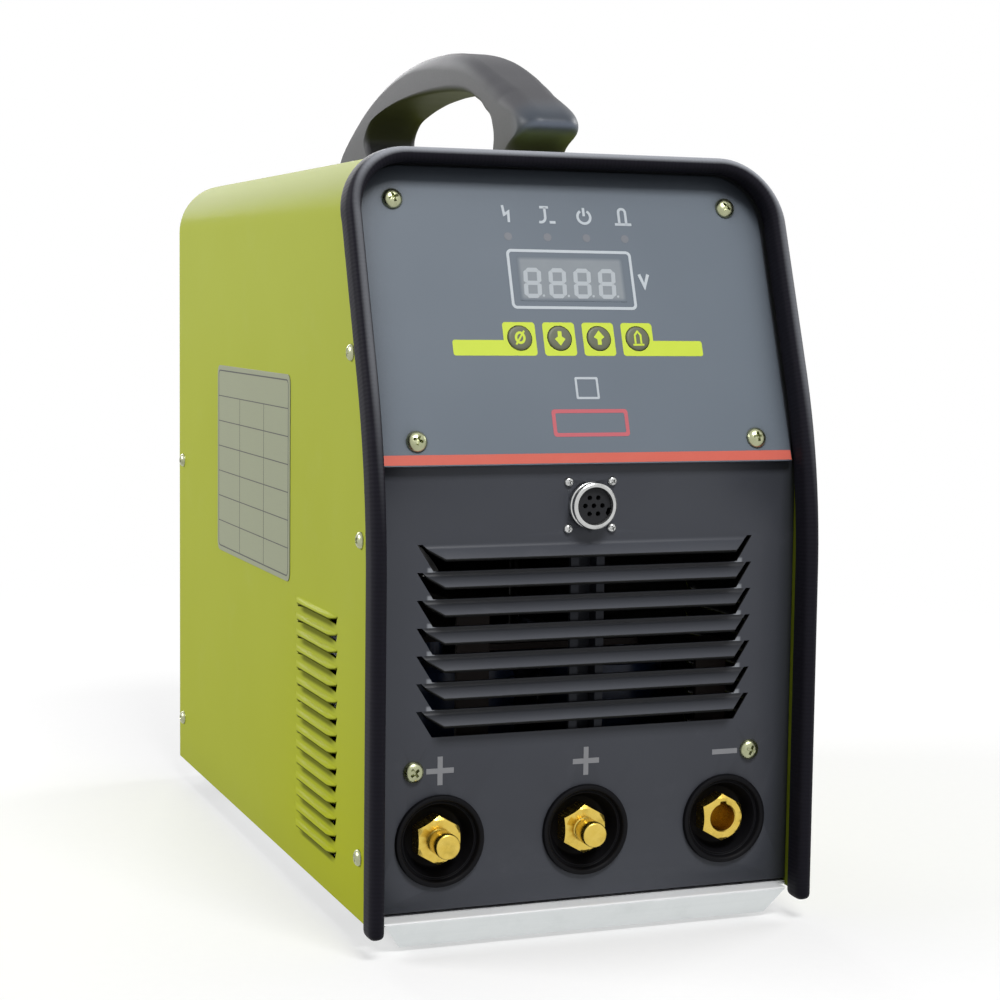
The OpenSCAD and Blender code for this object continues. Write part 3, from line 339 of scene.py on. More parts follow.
def trim_rubber():
    """Black edging with fine ribs across it and a painted highlight on its crest."""
    f = Finish("trim_rubber", Specular_IOR_Level=0.08)
    rib = (f.along() * (2 * math.pi / 2.0)).sine() * 0.5 + 0.5
    fine = f.noise(0.6, 2)
    scuff = f.steps(f.noise(14, 4, 0.6), 0.55, 0.8)
    base = f.mix(scuff, tint("#17161D"), tint("#1F1E25"))
    base = f.mix(rib * 0.2, base, tint("#25242C"))
    # painted highlight on the up-facing crest
    base = f.mix(f.facing(0.2, -0.42, 0.88, 0.5, 0.96) * (0.7 + fine * 0.3), base, tint("#A4A7AE"))
    f.give(Base_Color=base, Roughness=0.52 + fine * 0.1 + scuff * 0.1)
    f.relief(rib * 0.7 + fine * 0.3, 0.12, 0.6)
    return f.material


def galvanised():
    """Zinc-coated sheet: spangled, whiter and matt on the front ledge as a painted highlight, and dark inside the
    case as painted shade.
    """
    f = Finish("galvanised")
    _, y, z = f.axes()
    spangle = f.cells(7.5)
    tone = Value(f, f.node("SeparateColor", None, {0: spangle.outputs["Color"]}).outputs[0])
    streak = f.noise(2.2, 3, 0.6, (0.04, 1, 1))
    wear = f.steps(f.noise(20, 4, 0.65), 0.5, 0.8)
    base = f.mix(tone * 0.4, tint("#E2E6E6"), tint("#EBEEEE"))
    base = f.mix(streak * 0.4, base, tint("#CFD4D4"))
    base = f.mix(wear * 0.12, base, tint("#A3A8A4"))
    # painted highlight: the tray's upper face, whiter and matt
    ledge = f.steps(z, TRAY_TOP - 1.4, TRAY_TOP - 0.2)
    base = f.mix(ledge * 0.9, base, tint("#FBFCFD"))
    # painted shade: the tray's floor dark inside the case
    inside = ledge * f.steps(y, PANEL_Y + 2, PANEL_Y + 8) * (1 - f.steps(y, REAR_Y - 10, REAR_Y - 6))
    base = f.mix(inside * 0.9, base, tint("#1C1C1B"))
    f.give(Base_Color=base, Roughness=0.36 + tone * 0.08 + wear * 0.1, Metallic=0.9 - ledge * 0.9)
    f.relief(streak * 0.6 + tone * 0.4, 0.015)
    return f.material


def panel_paint():
    """Dark paint: dusty, with painted shade high on each louvre, painted highlights beside the louvres' ends and a
    painted highlight line along its edges.
    """
    f = Finish("panel_paint", Specular_IOR_Level=0.3)
    x, y, z = f.axes()
    grain = f.noise(0.9, 3, 0.6)
    cloud = f.noise(60, 3)
    dust = f.steps(f.noise(24, 5, 0.65), 0.55, 0.85)
    base = f.mix(cloud, tint("#3F4148"), tint("#484B52"))
    base = f.mix(dust * 0.2, base, tint("#62646A"))
    # painted highlight line along the edges
    base = f.mix(f.edges(0.9) * 0.3, base, tint("#70737A"))
    below, lowest, side = LOUVRE_Z[0] - z, LOUVRE_Z[0] - LOUVRE_Z[-1], x.size()
    under = (below / LOUVRE_PITCH).part() * LOUVRE_PITCH
    # painted shade high on each louvre below the first, where the lip above shades it
    among = f.steps(below, 7, 9) * (1 - f.steps(below, lowest + 8, lowest + 10)) * (y < PANEL_Y + 2)
    recess = (1 - f.steps(under, 0.5, 6.2)) * (1 - f.steps(side, 80, 82))
    base = f.mix(recess * among * 0.8, base, tint("#191A1D"))
    # painted highlights beside the louvres' ends, where the bends catch the light
    ends = f.steps(side, 75.4, 76.6) * (1 - f.steps(side, 79, 80.4))
    ends = ends * f.steps(under, LOUVRE_PITCH - 2.6, LOUVRE_PITCH - 1.4)
    base = f.mix(ends * among * 0.75, base, tint("#A4A8AE"))
    f.give(Base_Color=base, Roughness=0.4 + grain * 0.14)
    f.relief(grain, 0.05)
    return f.material


def film(name="film", dark="#69737E", light="#727C87"):
    """Grey film, with painted shade where the edging overhangs it."""
    f = Finish(name, Specular_IOR_Level=0.3)
    fine, cloud = f.noise(0.35, 1), f.noise(70, 2)
    smear = f.steps(f.noise(30, 4, 0.6, (1, 0.4, 1)), 0.5, 0.8)
    base = f.mix(cloud, tint(dark), tint(light))
    # painted shade in corners and under the overhanging edging
    base = f.mix(f.steps(f.corners(22), 0.12, 0.5) * 0.8, base, tint("#20242E"))
    f.give(Base_Color=base, Roughness=0.42 + fine * 0.1 - smear * 0.06)
    f.relief(fine, 0.012)
    return f.material


def ink(name, colour, deep, rough=0.45):
    """Printed or moulded colour, a little uneven."""
    f = Finish(name, Specular_IOR_Level=0.4)
    fine = f.noise(0.5, 2)
    cloud = f.noise(12, 3)
    f.give(Base_Color=f.mix(cloud * 0.6 + fine * 0.4, tint(colour), tint(deep)), Roughness=rough + fine * 0.1)
    f.relief(fine, 0.01, 0.4)
    return f.material


def plastic(name, dark, light, grain=0.8, rough=0.35, depth=0.04, shine=0.45, rubbed="#8A8A8C"):
    """Grained plastic, rubber or dull paint, rubbed along its edges."""
    f = Finish(name, Specular_IOR_Level=shine)
    fine = f.noise(grain, 3, 0.6)
    cloud = f.noise(25, 3)
    rub = f.steps(f.noise(9, 4, 0.65), 0.55, 0.85)
    base = f.mix(cloud, tint(dark), tint(light))
    base = f.mix(f.edges(0.7) * 0.2, base, tint(rubbed))
    f.give(Base_Color=base, Roughness=rough + fine * 0.12 + rub * 0.08)
    f.relief(fine, depth)
    return f.material


def metal(name, dark, light, rough=0.25, streak=(1, 1, 1), size=3.0, tarnish=None):
    """Bare metal with fine marks, spotted where it has a tarnish."""
    f = Finish(name, Metallic=1.0)
    line = f.noise(size, 3, 0.6, streak)
    spot = f.steps(f.noise(5, 4, 0.65), 0.5, 0.8)
    base = f.mix(line, tint(dark), tint(light))
    if tarnish:
        base = f.mix(spot * 0.45, base, tint(tarnish))
    f.give(Base_Color=base, Roughness=rough + line * 0.1 + spot * 0.08)
    f.relief(line, 0.012)
    return f.material


def handle_plastic():
    """Grey moulded plastic with painted shade on its top; at the front end painted shade and a painted blue-grey
    highlight below it, and smoother where hands rub it.
    """
    f = Finish("handle_plastic", Specular_IOR_Level=0.25)
    _, y, _ = f.axes()
    fine, cloud = f.noise(0.9, 3, 0.6), f.noise(25, 3)
    nose = 1 - f.steps(y + f.noise(18, 2) * 10, PANEL_Y + 57, PANEL_Y + 78)
    base = f.mix(cloud, tint("#3D3D41"), tint("#444448"))
    # painted shade on the up-facing top
    base = f.mix(f.facing(0.2, 0.1, 0.97, 0.55, 0.97) * 0.4, base, tint("#2C2C30"))
    # painted shade at the front end
    base = f.mix(nose * 0.7, base, tint("#3F4751"))
    # painted blue-grey highlight under the front end
    base = f.mix(nose * f.facing(0, -0.8, -0.6, 0.3, 0.9) * 0.8, base, tint("#6E7684"))
    f.give(Base_Color=base, Roughness=0.46 + fine * 0.12 - nose * 0.1)
    f.relief(fine, 0.05)
    return f.material


def turned_brass():
    """Brass with the fine rings that a lathe leaves about each terminal."""
    f = Finish("turned_brass", Metallic=1.0)
    x, y, z = f.axes()
    step = TERM_X[2]
    fold = ((x + 1.5 * step) / step).part() * step - step / 2
    out = (fold * fold + (z - TERM_Z) * (z - TERM_Z)) ** 0.5
    ring = (out * (2 * math.pi / 0.55)).sine() * 0.5 + 0.5
    cloud = f.noise(4, 4, 0.6)
    dull = f.steps(f.noise(7, 4, 0.65), 0.48, 0.8)
    base = f.mix(cloud, tint("#D0B045"), tint("#E4CA6C"))
    base = f.mix(dull * 0.5, base, tint("#A08A3A"))
    deep = f.steps(y, PANEL_Y + 0.5, PANEL_Y + 5) * (out < 6.9)
    base = f.mix(deep * 0.4, base, tint("#7A5016"))
    f.give(Base_Color=base, Roughness=0.24 + ring * 0.05 + dull * 0.18)
    f.relief(ring * 0.6 + cloud * 0.4, 0.012)
    return f.material


def brushed_plate():
    """Pale plate, brushed along its length."""
    f = Finish("brushed_plate", Metallic=0.1, Specular_IOR_Level=0.15)
    line = f.noise(0.5, 2, 0.6, (1, 0.03, 1))
    cloud = f.noise(40, 3)
    base = f.mix(line, tint("#8C9078"), tint("#9CA087"))
    f.give(Base_Color=f.mix(cloud * 0.3, base, tint("#9CA384")), Roughness=0.42 + line * 0.16)
    f.relief(line, 0.008, 0.4)
    return f.material


def window_pane():
    """The film's clear window, pale where the display lies behind it."""
    f = Finish("window_pane", Specular_IOR_Level=0.3)
    x, y, z = f.axes()
    v = (y - PANEL_Y) * math.sin(RAKE) + (z - BEND_Z) * math.cos(RAKE) + OVERHANG
    inside = f.steps(27.4 - x.size(), 0.0, 2.6) * f.steps(11.2 - (v - WINDOW_V).size(), 0.0, 2.4)
    fine, cloud = f.noise(0.4, 1), f.noise(9, 2)
    pale = f.mix(cloud, tint("#8B9299"), tint("#959CA2"))
    f.give(Base_Color=f.mix(inside, tint("#6C7681"), pale), Roughness=0.42 + fine * 0.08)
    f.relief(fine, 0.012, 0.4)
    return f.material


def capacitor_sleeve():
    """Blue shrink sleeve with faint folds."""
    f = Finish("capacitor_sleeve", Specular_IOR_Level=0.5)
    fine = f.noise(1.2, 3)
    fold = f.noise(16, 3, 0.5, (1, 1, 0.2))
    f.give(Base_Color=f.mix(fold, tint("#1D2B4A"), tint("#2A3B60")), Roughness=0.26 + fine * 0.12)
    f.relief(fold * 0.7 + fine * 0.3, 0.05)
    return f.material


def circuit_board():
    """Green board with tracks."""
    f = Finish("circuit_board", Specular_IOR_Level=0.5)
    weave = f.noise(0.8, 2)
    cell = f.cells(4.5, "DISTANCE_TO_EDGE")
    track = 1 - f.steps(Value(f, cell.outputs["Distance"]), 0.05, 0.09)
    base = f.mix(weave, tint("#0F2416"), tint("#142B1C"))
    f.give(Base_Color=f.mix(track * 0.7, base, tint("#234A2E")), Roughness=0.32 + weave * 0.12)
    f.relief(track * 0.7 + weave * 0.3, 0.04)
    return f.material


def inner_paint():
    """The inside of the sheets: dark as painted shade, and green on the strip of cover in front of the panel."""
    f = Finish("inner_paint", Specular_IOR_Level=0.15)
    _, y, z = f.axes()
    fine, cloud = f.noise(1.1, 3, 0.6), f.noise(25, 3)
    lean = (z - BEND_Z).at_least(0) * math.tan(RAKE)
    ahead = 1 - f.steps(y - lean, PANEL_Y + 0.5, PANEL_Y + 3)
    # near black all over: painted shade inside the case
    base = f.mix(cloud, tint("#0F1010"), tint("#151616"))
    base = f.mix(ahead * (0.85 + fine * 0.15), base, tint("#7E8A1E"))
    f.give(Base_Color=base, Roughness=0.6 + fine * 0.12)
    f.relief(fine, 0.03)
    return f.material


def stacked_steel():
    """Thin steel sheets stacked along Y, seen on their cut edges."""
    f = Finish("stacked_steel", Metallic=0.6)
    _, y, _ = f.axes()
    leaf = (y * (2 * math.pi / 0.9)).sine() * 0.5 + 0.5
    stain = f.steps(f.noise(9, 4, 0.65), 0.45, 0.8)
    base = f.mix(leaf * 0.6, tint("#5A5C60"), tint("#3B3D42"))
    f.give(Base_Color=f.mix(stain * 0.3, base, tint("#5E4E42")), Roughness=0.42 + leaf * 0.15)
    f.relief(leaf, 0.08, 0.6)
    return f.material


COVER_PAINT = cover_paint()
TRIM_RUBBER = trim_rubber()
GALVANISED = galvanised()
PANEL_PAINT = panel_paint()
FILM_GREY = film()
PLATE_PAINT = film("plate_paint", "#646E78", "#6D7781")
PRINT_WHITE = ink("print_white", "#D2D9DF", "#C6CED5")
PRINT_PALE = ink("print_pale", "#CCD3DA", "#C2CAD1")
PRINT_GREY = ink("print_grey", "#9C9DA1", "#909195")
PRINT_YELLOW = ink("print_yellow", "#DDF04C", "#D2E63E")
PRINT_RED = ink("print_red", "#E06F5E", "#D8604F")
PRINT_ROSE = ink("print_rose", "#D46C76", "#C86069")
PRINT_BLACK = ink("print_black", "#33352F", "#2A2C28")
KEY_OLIVE = ink("key_olive", "#6A6E58", "#616551", 0.38)
DIGIT_PALE = ink("digit_pale", "#C0C7CD", "#B7BEC4", 0.5)
DISPLAY_FACE = ink("display_face", "#B9C0C2", "#AFB7B9", 0.5)
LAMP_LENS = ink("lamp_lens", "#7F8289", "#777A82", 0.3)
PANE = window_pane()
ZINC = metal("zinc_screw", "#979B78", "#B9BC9C", 0.22, tarnish="#5F6640")
NICKEL = metal("nickel", "#B4B5B4", "#D2D3D2", 0.18, tarnish="#8B8C8A")
BRASS = turned_brass()
# busbars kept near black: painted shade inside the case
COPPER = plastic("copper_dark_as_shade", "#140E0C", "#1C1310", 1.2, 0.55, 0.03, 0.2, "#3A2418")
BLACK_PLASTIC = plastic("black_plastic", "#0B0B0D", "#111114", 0.7, 0.42, 0.02)
COLLAR_PLASTIC = plastic("collar_plastic", "#050508", "#09090D", 0.7, 0.5, 0.02, 0.12, "#15151A")
STIFFENER_PAINT = plastic("stiffener_paint", "#22252C", "#2A2D35", 0.9, 0.5, 0.03, 0.25, "#3A3E48")
INNER_PAINT = inner_paint()
# near black on the front sheet's back and cut edges: painted shade inside the case
DARK_PAINT = plastic("dark_paint", "#0F1010", "#151616", 1.1, 0.6, 0.03, 0.15, "#1C1C1C")
INSERT_PLASTIC = plastic("insert_plastic", "#1B1C1F", "#242528", 0.6, 0.55, 0.03, 0.25, "#3A3A3C")
HANDLE_PLASTIC = handle_plastic()
FAN_PLASTIC = plastic("fan_plastic", "#0C0C0E", "#121214", 0.8, 0.6, 0.03, 0.06, "#1E1E20")
FOOT_RUBBER = plastic("foot_rubber", "#1C1C1C", "#272727", 0.6, 0.6, 0.06)
ROCKER_RED = plastic("rocker_red", "#A81F19", "#B62A22", 0.7, 0.42, 0.015, 0.2, "#C8564E")
# near black: painted shade inside the case
RESIN_BOARD = plastic("resin_board", "#131010", "#1B1615", 1.4, 0.6, 0.05, 0.2, "#2A2422")
DARK_ALUMINIUM = metal("dark_aluminium", "#131416", "#1B1C1F", 0.5, (0.2, 1, 1), 1.5)
SLEEVE = capacitor_sleeve()
BOARD = circuit_board()
CORE_STEEL = stacked_steel()
SIDE_PLATE = brushed_plate()


# ---------------------------------------------------------------- making pieces

class Shape:
    """Points in millimetres and the faces between them."""

    def __init__(self):
        self.points, self.faces = [], []

    def add(self, points, faces):
        """Adds points, and faces that count from the first of them."""
        first = len(self.points)
        self.points += [tuple(p) for p in points]
        self.faces += [[first + i for i in face] for face in faces]
        return self

    def net(self, rows, around=False, keep=None):
        """Faces between rows of as many points; around joins each row's end to its start."""
        wide = len(rows[0])
        last = wide if around else wide - 1
        return self.add(
            [p for row in rows for p in row],
            [[r * wide + c, r * wide + (c + 1) % wide, (r + 1) * wide + (c + 1) % wide, (r + 1) * wide + c]
             for r in range(len(rows) - 1) for c in range(last) if keep is None or keep(r, c)])

    def rings(self, rows, place):
        """Faces between rings, each a row of (radius, height) pairs at even angles about the place's axis."""
        turns = [(math.cos(t), math.sin(t)) for t in angles(len(rows[0]))]
        return self.net([[place(r * c, r * s, h) for (r, h), (c, s) in zip(row, turns)] for row in rows],
                        around=True)

    def turned(self, profile, place, sides=64):
        """A lathe form of (radius, height) pairs about the place's own axis."""
        return self.rings([[spot] * sides for spot in profile], place)

    def slab(self, outline, place, low, high):
        """A flat outline, thick from low to high."""
        n = len(outline)
        return self.add(
            [place(a, b, low) for a, b in outline] + [place(a, b, high) for a, b in outline],
            [list(range(n))[::-1], list(range(n, 2 * n))]
            + [[i, (i + 1) % n, n + (i + 1) % n, n + i] for i in range(n)])

    def band(self, outer, inner, place, low, high):
        """The flat band between two outlines of as many points, thick from low to high."""
        loops = [(inner, low), (outer, low), (outer, high), (inner, high), (inner, low)]
        return self.net([[place(a, b, n) for a, b in loop] for loop, n in loops], around=True)

    def holed(self, outline, holes, place, n=0.0):
        """A flat face at height n with holes through it."""
        sketch = bmesh.new()
        for loop in [outline] + holes:
            verts = [sketch.verts.new((a, b, 0)) for a, b in loop]
            for i, v in enumerate(verts):
                sketch.edges.new((v, verts[(i + 1) % len(verts)]))
        bmesh.ops.triangle_fill(sketch, use_beauty=True, use_dissolve=False, edges=sketch.edges[:])
        sketch.verts.index_update()
        self.add([place(v.co.x, v.co.y, n) for v in sketch.verts],
                 [[v.index for v in face.verts] for face in sketch.faces])
        sketch.free()
        return self

    def walls(self, outline, place, low, high):
        """The edge wall of an outline."""
        return self.net([[place(a, b, n) for a, b in outline] for n in (low, high)], around=True)


def angles(count):
    """Even angles all round."""
    return [2 * math.pi * i / count for i in range(count)]


def circle(r, sides=40, a=0.0, b=0.0):
    """A circle about (a, b)."""
    return [(a + r * math.cos(t), b + r * math.sin(t)) for t in angles(sides)]


def rounded(wide, high, r, a=0.0, b=0.0, steps=6):
    """A rectangle with round corners about (a, b)."""
    return [p for sa, sb, start in ((1, 1, 0), (-1, 1, 90), (-1, -1, 180), (1, -1, 270))
            for p in arc(r, start, start + 90, steps, a + sa * (wide / 2 - r), b + sb * (high / 2 - r))]


def box(left, low, right, high):
    """A plain rectangle."""
    return [(left, low), (right, low), (right, high), (left, high)]


def stroke(points, wide):
    """An outline of that width along a bent line."""
    sides = ([], [])
    for i, p in enumerate(points):
        before = Vector(points[max(i - 1, 0)])
        after = Vector(points[min(i + 1, len(points) - 1)])
        here = Vector(p)
        legs = [v.normalized() for v in (here - before, after - here) if v.length > 1e-9]
        way = sum(legs, Vector((0, 0))).normalized()
        across = Vector((-way.y, way.x))
        reach = wide / 2 / max(abs(across.dot(Vector((-legs[0].y, legs[0].x)))), 0.4)
        sides[0].append(tuple(here + across * reach))
        sides[1].append(tuple(here - across * reach))
    return sides[0] + sides[1][::-1]


def arc(r, start, end, steps=16, a=0.0, b=0.0):
    """Part of a circle about (a, b), between two angles in degrees."""
    turns = [math.radians(start + (end - start) * i / steps) for i in range(steps + 1)]
    return [(a + r * math.cos(t), b + r * math.sin(t)) for t in turns]


def knit(shape, scale, merge, runs=None):
    """A shape's faces as one skin: points that meet are joined and all faces look outwards."""
    skin = bmesh.new()
    layer = skin.verts.layers.float.new("along") if runs else None
    verts = [skin.verts.new(Vector(p) * scale) for p in shape.points]
    for v, run in zip(verts, runs or []):
        v[layer] = run
    for face in shape.faces:
        skin.faces.new([verts[i] for i in face])
    bmesh.ops.remove_doubles(skin, verts=skin.verts[:], dist=merge)
    bmesh.ops.dissolve_degenerate(skin, edges=skin.edges[:], dist=merge / 20)
    bmesh.ops.recalc_face_normals(skin, faces=skin.faces[:])
    return skin


def piece(name, shape, finish, body="case", stands_for=(), crease=35, soft=0.0, thick=0.0, facing=None,
          runs=None, even=False, inner=None, dark_rim=False):
    """Makes a shape into a named piece that rides on a body and takes the place of solids.

    Edges sharper than crease stay sharp, or soft rounds them. A sheet looks to the side facing, is thick behind it,
    and may have an inner finish at its back, which dark_rim also puts on its cut edges. runs holds the length along
    a swept piece at each point. even keeps flats flat beside bends.
    """
    mesh = bpy.data.meshes.new(name)
    skin = knit(shape, MM, 2e-6, runs)
    if facing is not None:
        total = sum((f.normal * f.calc_area() for f in skin.faces), Vector())
        if total.dot(Vector(facing)) < 0:
            bmesh.ops.reverse_faces(skin, faces=skin.faces[:])
    skin.to_mesh(mesh)
    skin.free()
    mesh.shade_smooth()
    if not soft:
        mesh.set_sharp_from_angle(angle=math.radians(crease))
    mesh.materials.append(finish)
    made = bpy.data.objects.new(name, mesh)
    scene.collection.objects.link(made)
    if thick:
        sheet = made.modifiers.new("thick", "SOLIDIFY")
        sheet.thickness, sheet.offset, sheet.use_even_offset = thick * MM, -1, True
        if inner:
            mesh.materials.append(inner)
            sheet.material_offset, sheet.material_offset_rim = 1, int(dark_rim)
    if soft:
        round_off(made, soft)
    if even:
        made.modifiers.new("even_shading", "WEIGHTED_NORMAL").keep_sharp = True
    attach(made, body)
    if stands_for:
        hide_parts(*stands_for)


def round_off(made, width, angle=30, segments=3):
    """Rounds the edges that are sharper than the angle."""
    bevel = made.modifiers.new("soft_edges", "BEVEL")
    bevel.width, bevel.segments, bevel.harden_normals = width * MM, segments, True
    bevel.limit_method, bevel.angle_limit = "ANGLE", math.radians(angle)


# ---------------------------------------------------------------- screws

def screw_head(r, h):
    """A domed screw head with a cross recess, its foot at height 0."""
    dome = Shape().turned(
        [(0, h), (r * 0.2, h * 0.995), (r * 0.45, h * 0.95), (r * 0.68, h * 0.82), (r * 0.84, h * 0.62),
         (r * 0.94, h * 0.4), (r, h * 0.18), (r, 0), (0, 0)], lambda a, b, n: (a, b, n), 40)
    cross, arms = Shape(), 12
    for n, long, wide in ((h * 0.35, r * 0.22, r * 0.09), (h * 1.2, r * 0.6, r * 0.15)):
        cross.points += [(a, b, n) for a, b in (
            (wide, long), (-wide, long), (-wide, wide), (-long, wide), (-long, -wide), (-wide, -wide),
            (-wide, -long), (wide, -long), (wide, -wide), (long, -wide), (long, wide), (wide, wide))]
    cross.faces = [list(range(arms))[::-1], list(range(arms, 2 * arms))]
    cross.faces += [[i, (i + 1) % arms, arms + (i + 1) % arms, arms + i] for i in range(arms)]
    parts = []
    for name, shape in (("head", dome), ("recess", cross)):
        mesh = bpy.data.meshes.new(name)
        skin = knit(shape, 1.0, 1e-4)
        skin.to_mesh(mesh)
        skin.free()
        parts.append(bpy.data.objects.new(name, mesh))
        scene.collection.objects.link(parts[-1])
    cutter = parts[0].modifiers.new("cut", "BOOLEAN")
    cutter.operation, cutter.object = "DIFFERENCE", parts[1]
    shown = parts[0].evaluated_get(bpy.context.evaluated_depsgraph_get())
    cut = shown.to_mesh()
    result = Shape().add([tuple(v.co) for v in cut.vertices], [list(p.vertices) for p in cut.polygons])
    shown.to_mesh_clear()
    for made in parts:
        mesh = made.data
        bpy.data.objects.remove(made)
        bpy.data.meshes.remove(mesh)
    return result


HEAD_M5 = screw_head(5.0, 3.0)
HEAD_M4 = screw_head(4.0, 2.4)
HEAD_M3 = screw_head(2.4, 1.8)


def put_screw(shape, head, place, turn, foot, shank, length, nut=0.0, nut_at=0.0, nut_high=0.0):
    """A screw with its head's foot at height foot, its shank behind it, and a nut where it has one."""
    c, s = math.cos(math.radians(turn)), math.sin(math.radians(turn))
    shape.add([place(a * c - b * s, a * s + b * c, n + foot) for a, b, n in head.points], head.faces)
    tip = foot - length
    shape.turned([(0, foot), (shank, foot), (shank, tip + 0.5), (shank - 0.5, tip), (0, tip)], place, 24)
    if nut:
        corner, nut_end = nut / math.sqrt(3), nut_at - nut_high
        shape.turned([(shank, nut_at), (nut * 0.5, nut_at), (corner, nut_at - 0.3), (corner, nut_end),
                      (shank, nut_end), (shank, nut_at)], place, 6)


# ---------------------------------------------------------------- cover

def arch(inset, low, heights=None):
    """The cover's section from its left foot over the top to its right foot: (x, z, outward x, outward z)."""
    half, top, r = HALF - inset, TOP - inset, CORNER_R - inset
    walls = heights or [low + (top - r - low) * i / 12 for i in range(12)]

    def corner(x, start):
        return [(x + r * c, top - r + r * s, c, s) for c, s in arc(1, start, start - 90)]

    line = [(-half, z, -1.0, 0.0) for z in walls] + corner(r - half, 180)
    line += [(r - half + 2 * (half - r) * i / 6, top, 0.0, 1.0) for i in range(1, 6)]
    return line + corner(half - r, 90) + [(half, z, 1.0, 0.0) for z in reversed(walls)]


def flap(shape, place, top_half, lip_half, out, drop, bend):
    """A pressed louvre: a flap bent out along its upper edge, open below it and at its slanting ends."""
    low, high = 0.0, math.radians(85)
    for _ in range(40):
        turn = (low + high) / 2
        straight = (drop - bend * math.sin(turn)) / math.cos(turn)
        if bend * (1 - math.cos(turn)) + straight * math.sin(turn) < out:
            low = turn
        else:
            high = turn
    line = [(bend * turn * i / 4, -bend * math.sin(turn * i / 4), bend * (1 - math.cos(turn * i / 4)))
            for i in range(5)]
    line.append((bend * turn + straight, -drop, out))
    whole = line[-1][0]
    shape.net([[place(share * (top_half + (lip_half - top_half) * run / whole), b, n) for share in FIFTHS]
               for run, b, n in line])


def make_cover():
    """The bent green sheet with its pressed side vents."""
    top_half, foot_half, opening, bend = 37.5, 34.5, 4.1, 1.0
    heights, slits = [COVER_LOW.z], set()
    for top in VENT_Z:
        heights += [top - opening, top]
        slits.add(top - opening)
    step = (TOP - CORNER_R - VENT_Z[-1]) / 9
    heights += [VENT_Z[-1] + step * i for i in range(1, 9)]
    path = arch(0, COVER_LOW.z, heights=heights)
    rear = [VENT_Y + 60, VENT_Y + 120, VENT_Y + 190, REAR_Y]
    margin, corner_drop, columns = 4, 1.3, range(2, 6)
    rows = []
    for x, z, _, _ in path:
        front = edge_y(z, NOSE + 0.1)
        half = foot_half if z in slits else top_half
        ys = [VENT_Y + half * share for share in FIFTHS]
        if front > ys[0] - margin:
            first = front + margin
            ys = [first + (VENT_Y + half - first) * i / 4 for i in range(5)]
        row = [(x, y, z) for y in [front, (front + ys[0]) / 2] + ys + rear]
        if z in slits and x < 0:
            row[columns[0]], row[columns[-1] + 1] = (x, ys[0], z - corner_drop), (x, ys[4], z - corner_drop)
        rows.append(row)

    def keep(r, c):
        """All faces but the ones that the vents open."""
        foot = path[r] if path[r][2] < 0 else path[r + 1]
        return not (c in columns and foot[1] in slits and path[r][3] == 0 and path[r + 1][3] == 0)

    cover = Shape().net(rows, keep=keep)
    for top in VENT_Z:
        flap(cover, left_at(VENT_Y, top), top_half, lip_half=27.0, out=2.4, drop=1.8, bend=bend)
        flap(cover, right_at(VENT_Y, top), top_half, lip_half=36.5, out=2.1, drop=opening + 0.6, bend=bend)
    piece("cover_skin", cover, COVER_PAINT, stands_for=["cover"], crease=50, thick=SHEET,
          facing=(0, 0, 1), even=True, inner=INNER_PAINT)


make_cover()


def make_trim():
    """The black edging pushed over the cover's front edge."""
    line = arch(0, TRIM_LOW.z + 4)
    dense = []
    for i, (x, z, nx, nz) in enumerate(line[:-1]):
        x2, z2, nx2, nz2 = line[i + 1]
        cuts = 3 if abs(z2 - z) > 8 or abs(x2 - x) > 8 else 1
        for j in range(cuts):
            t = j / cuts
            n = Vector((nx + (nx2 - nx) * t, nz + (nz2 - nz) * t)).normalized()
            dense.append((x + (x2 - x) * t, z + (z2 - z) * t, n.x, n.y))
    dense.append(line[-1])
    nose = [Vector((x, edge_y(z, 0), z)) for x, z, _, _ in dense]
    back = 13.5
    section = [(0.06, NOSE), (0.06, back - 0.3), (0.5, back), (1.7, back - 0.1), (2.4, back - 0.7),
               (2.7, back - 1.8), (2.8, 9.5), (2.84, 7.0), (2.84, 4.6), (2.7, 3.0), (2.1, 1.5), (1.2, 0.5),
               (0.0, 0.08), (-0.75, 0.0), (-1.6, 0.08), (-2.8, 0.5), (-3.8, 1.5), (-4.35, 3.0), (-4.5, 4.6),
               (-4.5, 9.5), (-4.2, back - 1.0), (-3.4, back - 0.2), (-2.6, back), (-1.9, back - 0.2),
               (-1.56, back - 0.9), (-1.56, NOSE)]
    ends = ((0.55, 3.0), (0.82, 2.2), (0.95, 1.2))
    rows, runs, run = [], [], 0.0
    last = len(dense) - 1
    for i, (x, z, nx, nz) in enumerate(dense):
        if i:
            run += (nose[i] - nose[i - 1]).length
        along = (nose[min(i + 1, last)] - nose[max(i - 1, 0)]).normalized()
        out = Vector((nx, 0, nz))
        into = out.cross(along)
        if into.y < 0:
            into = -into
        ring = [nose[i] + out * a + into * b for a, b in section]
        middle = sum(ring, Vector()) / len(ring)
        shrunk = [[middle + (q - middle) * share - Vector((0, 0, drop)) for q in ring] for share, drop in ends]
        added = shrunk + [ring] if i == 0 else [ring] + shrunk[::-1] if i == last else [ring]
        rows += added
        runs += [run] * len(section) * len(added)
    trim = Shape().net(rows, around=True)
    wide = len(section)
    trim.faces += [list(range(wide)), [len(rows) * wide - 1 - i for i in range(wide)]]
    piece("edge_strip", trim, TRIM_RUBBER, stands_for=["edge_trim"], crease=50, runs=runs)


make_trim()


# ---------------------------------------------------------------- front panel

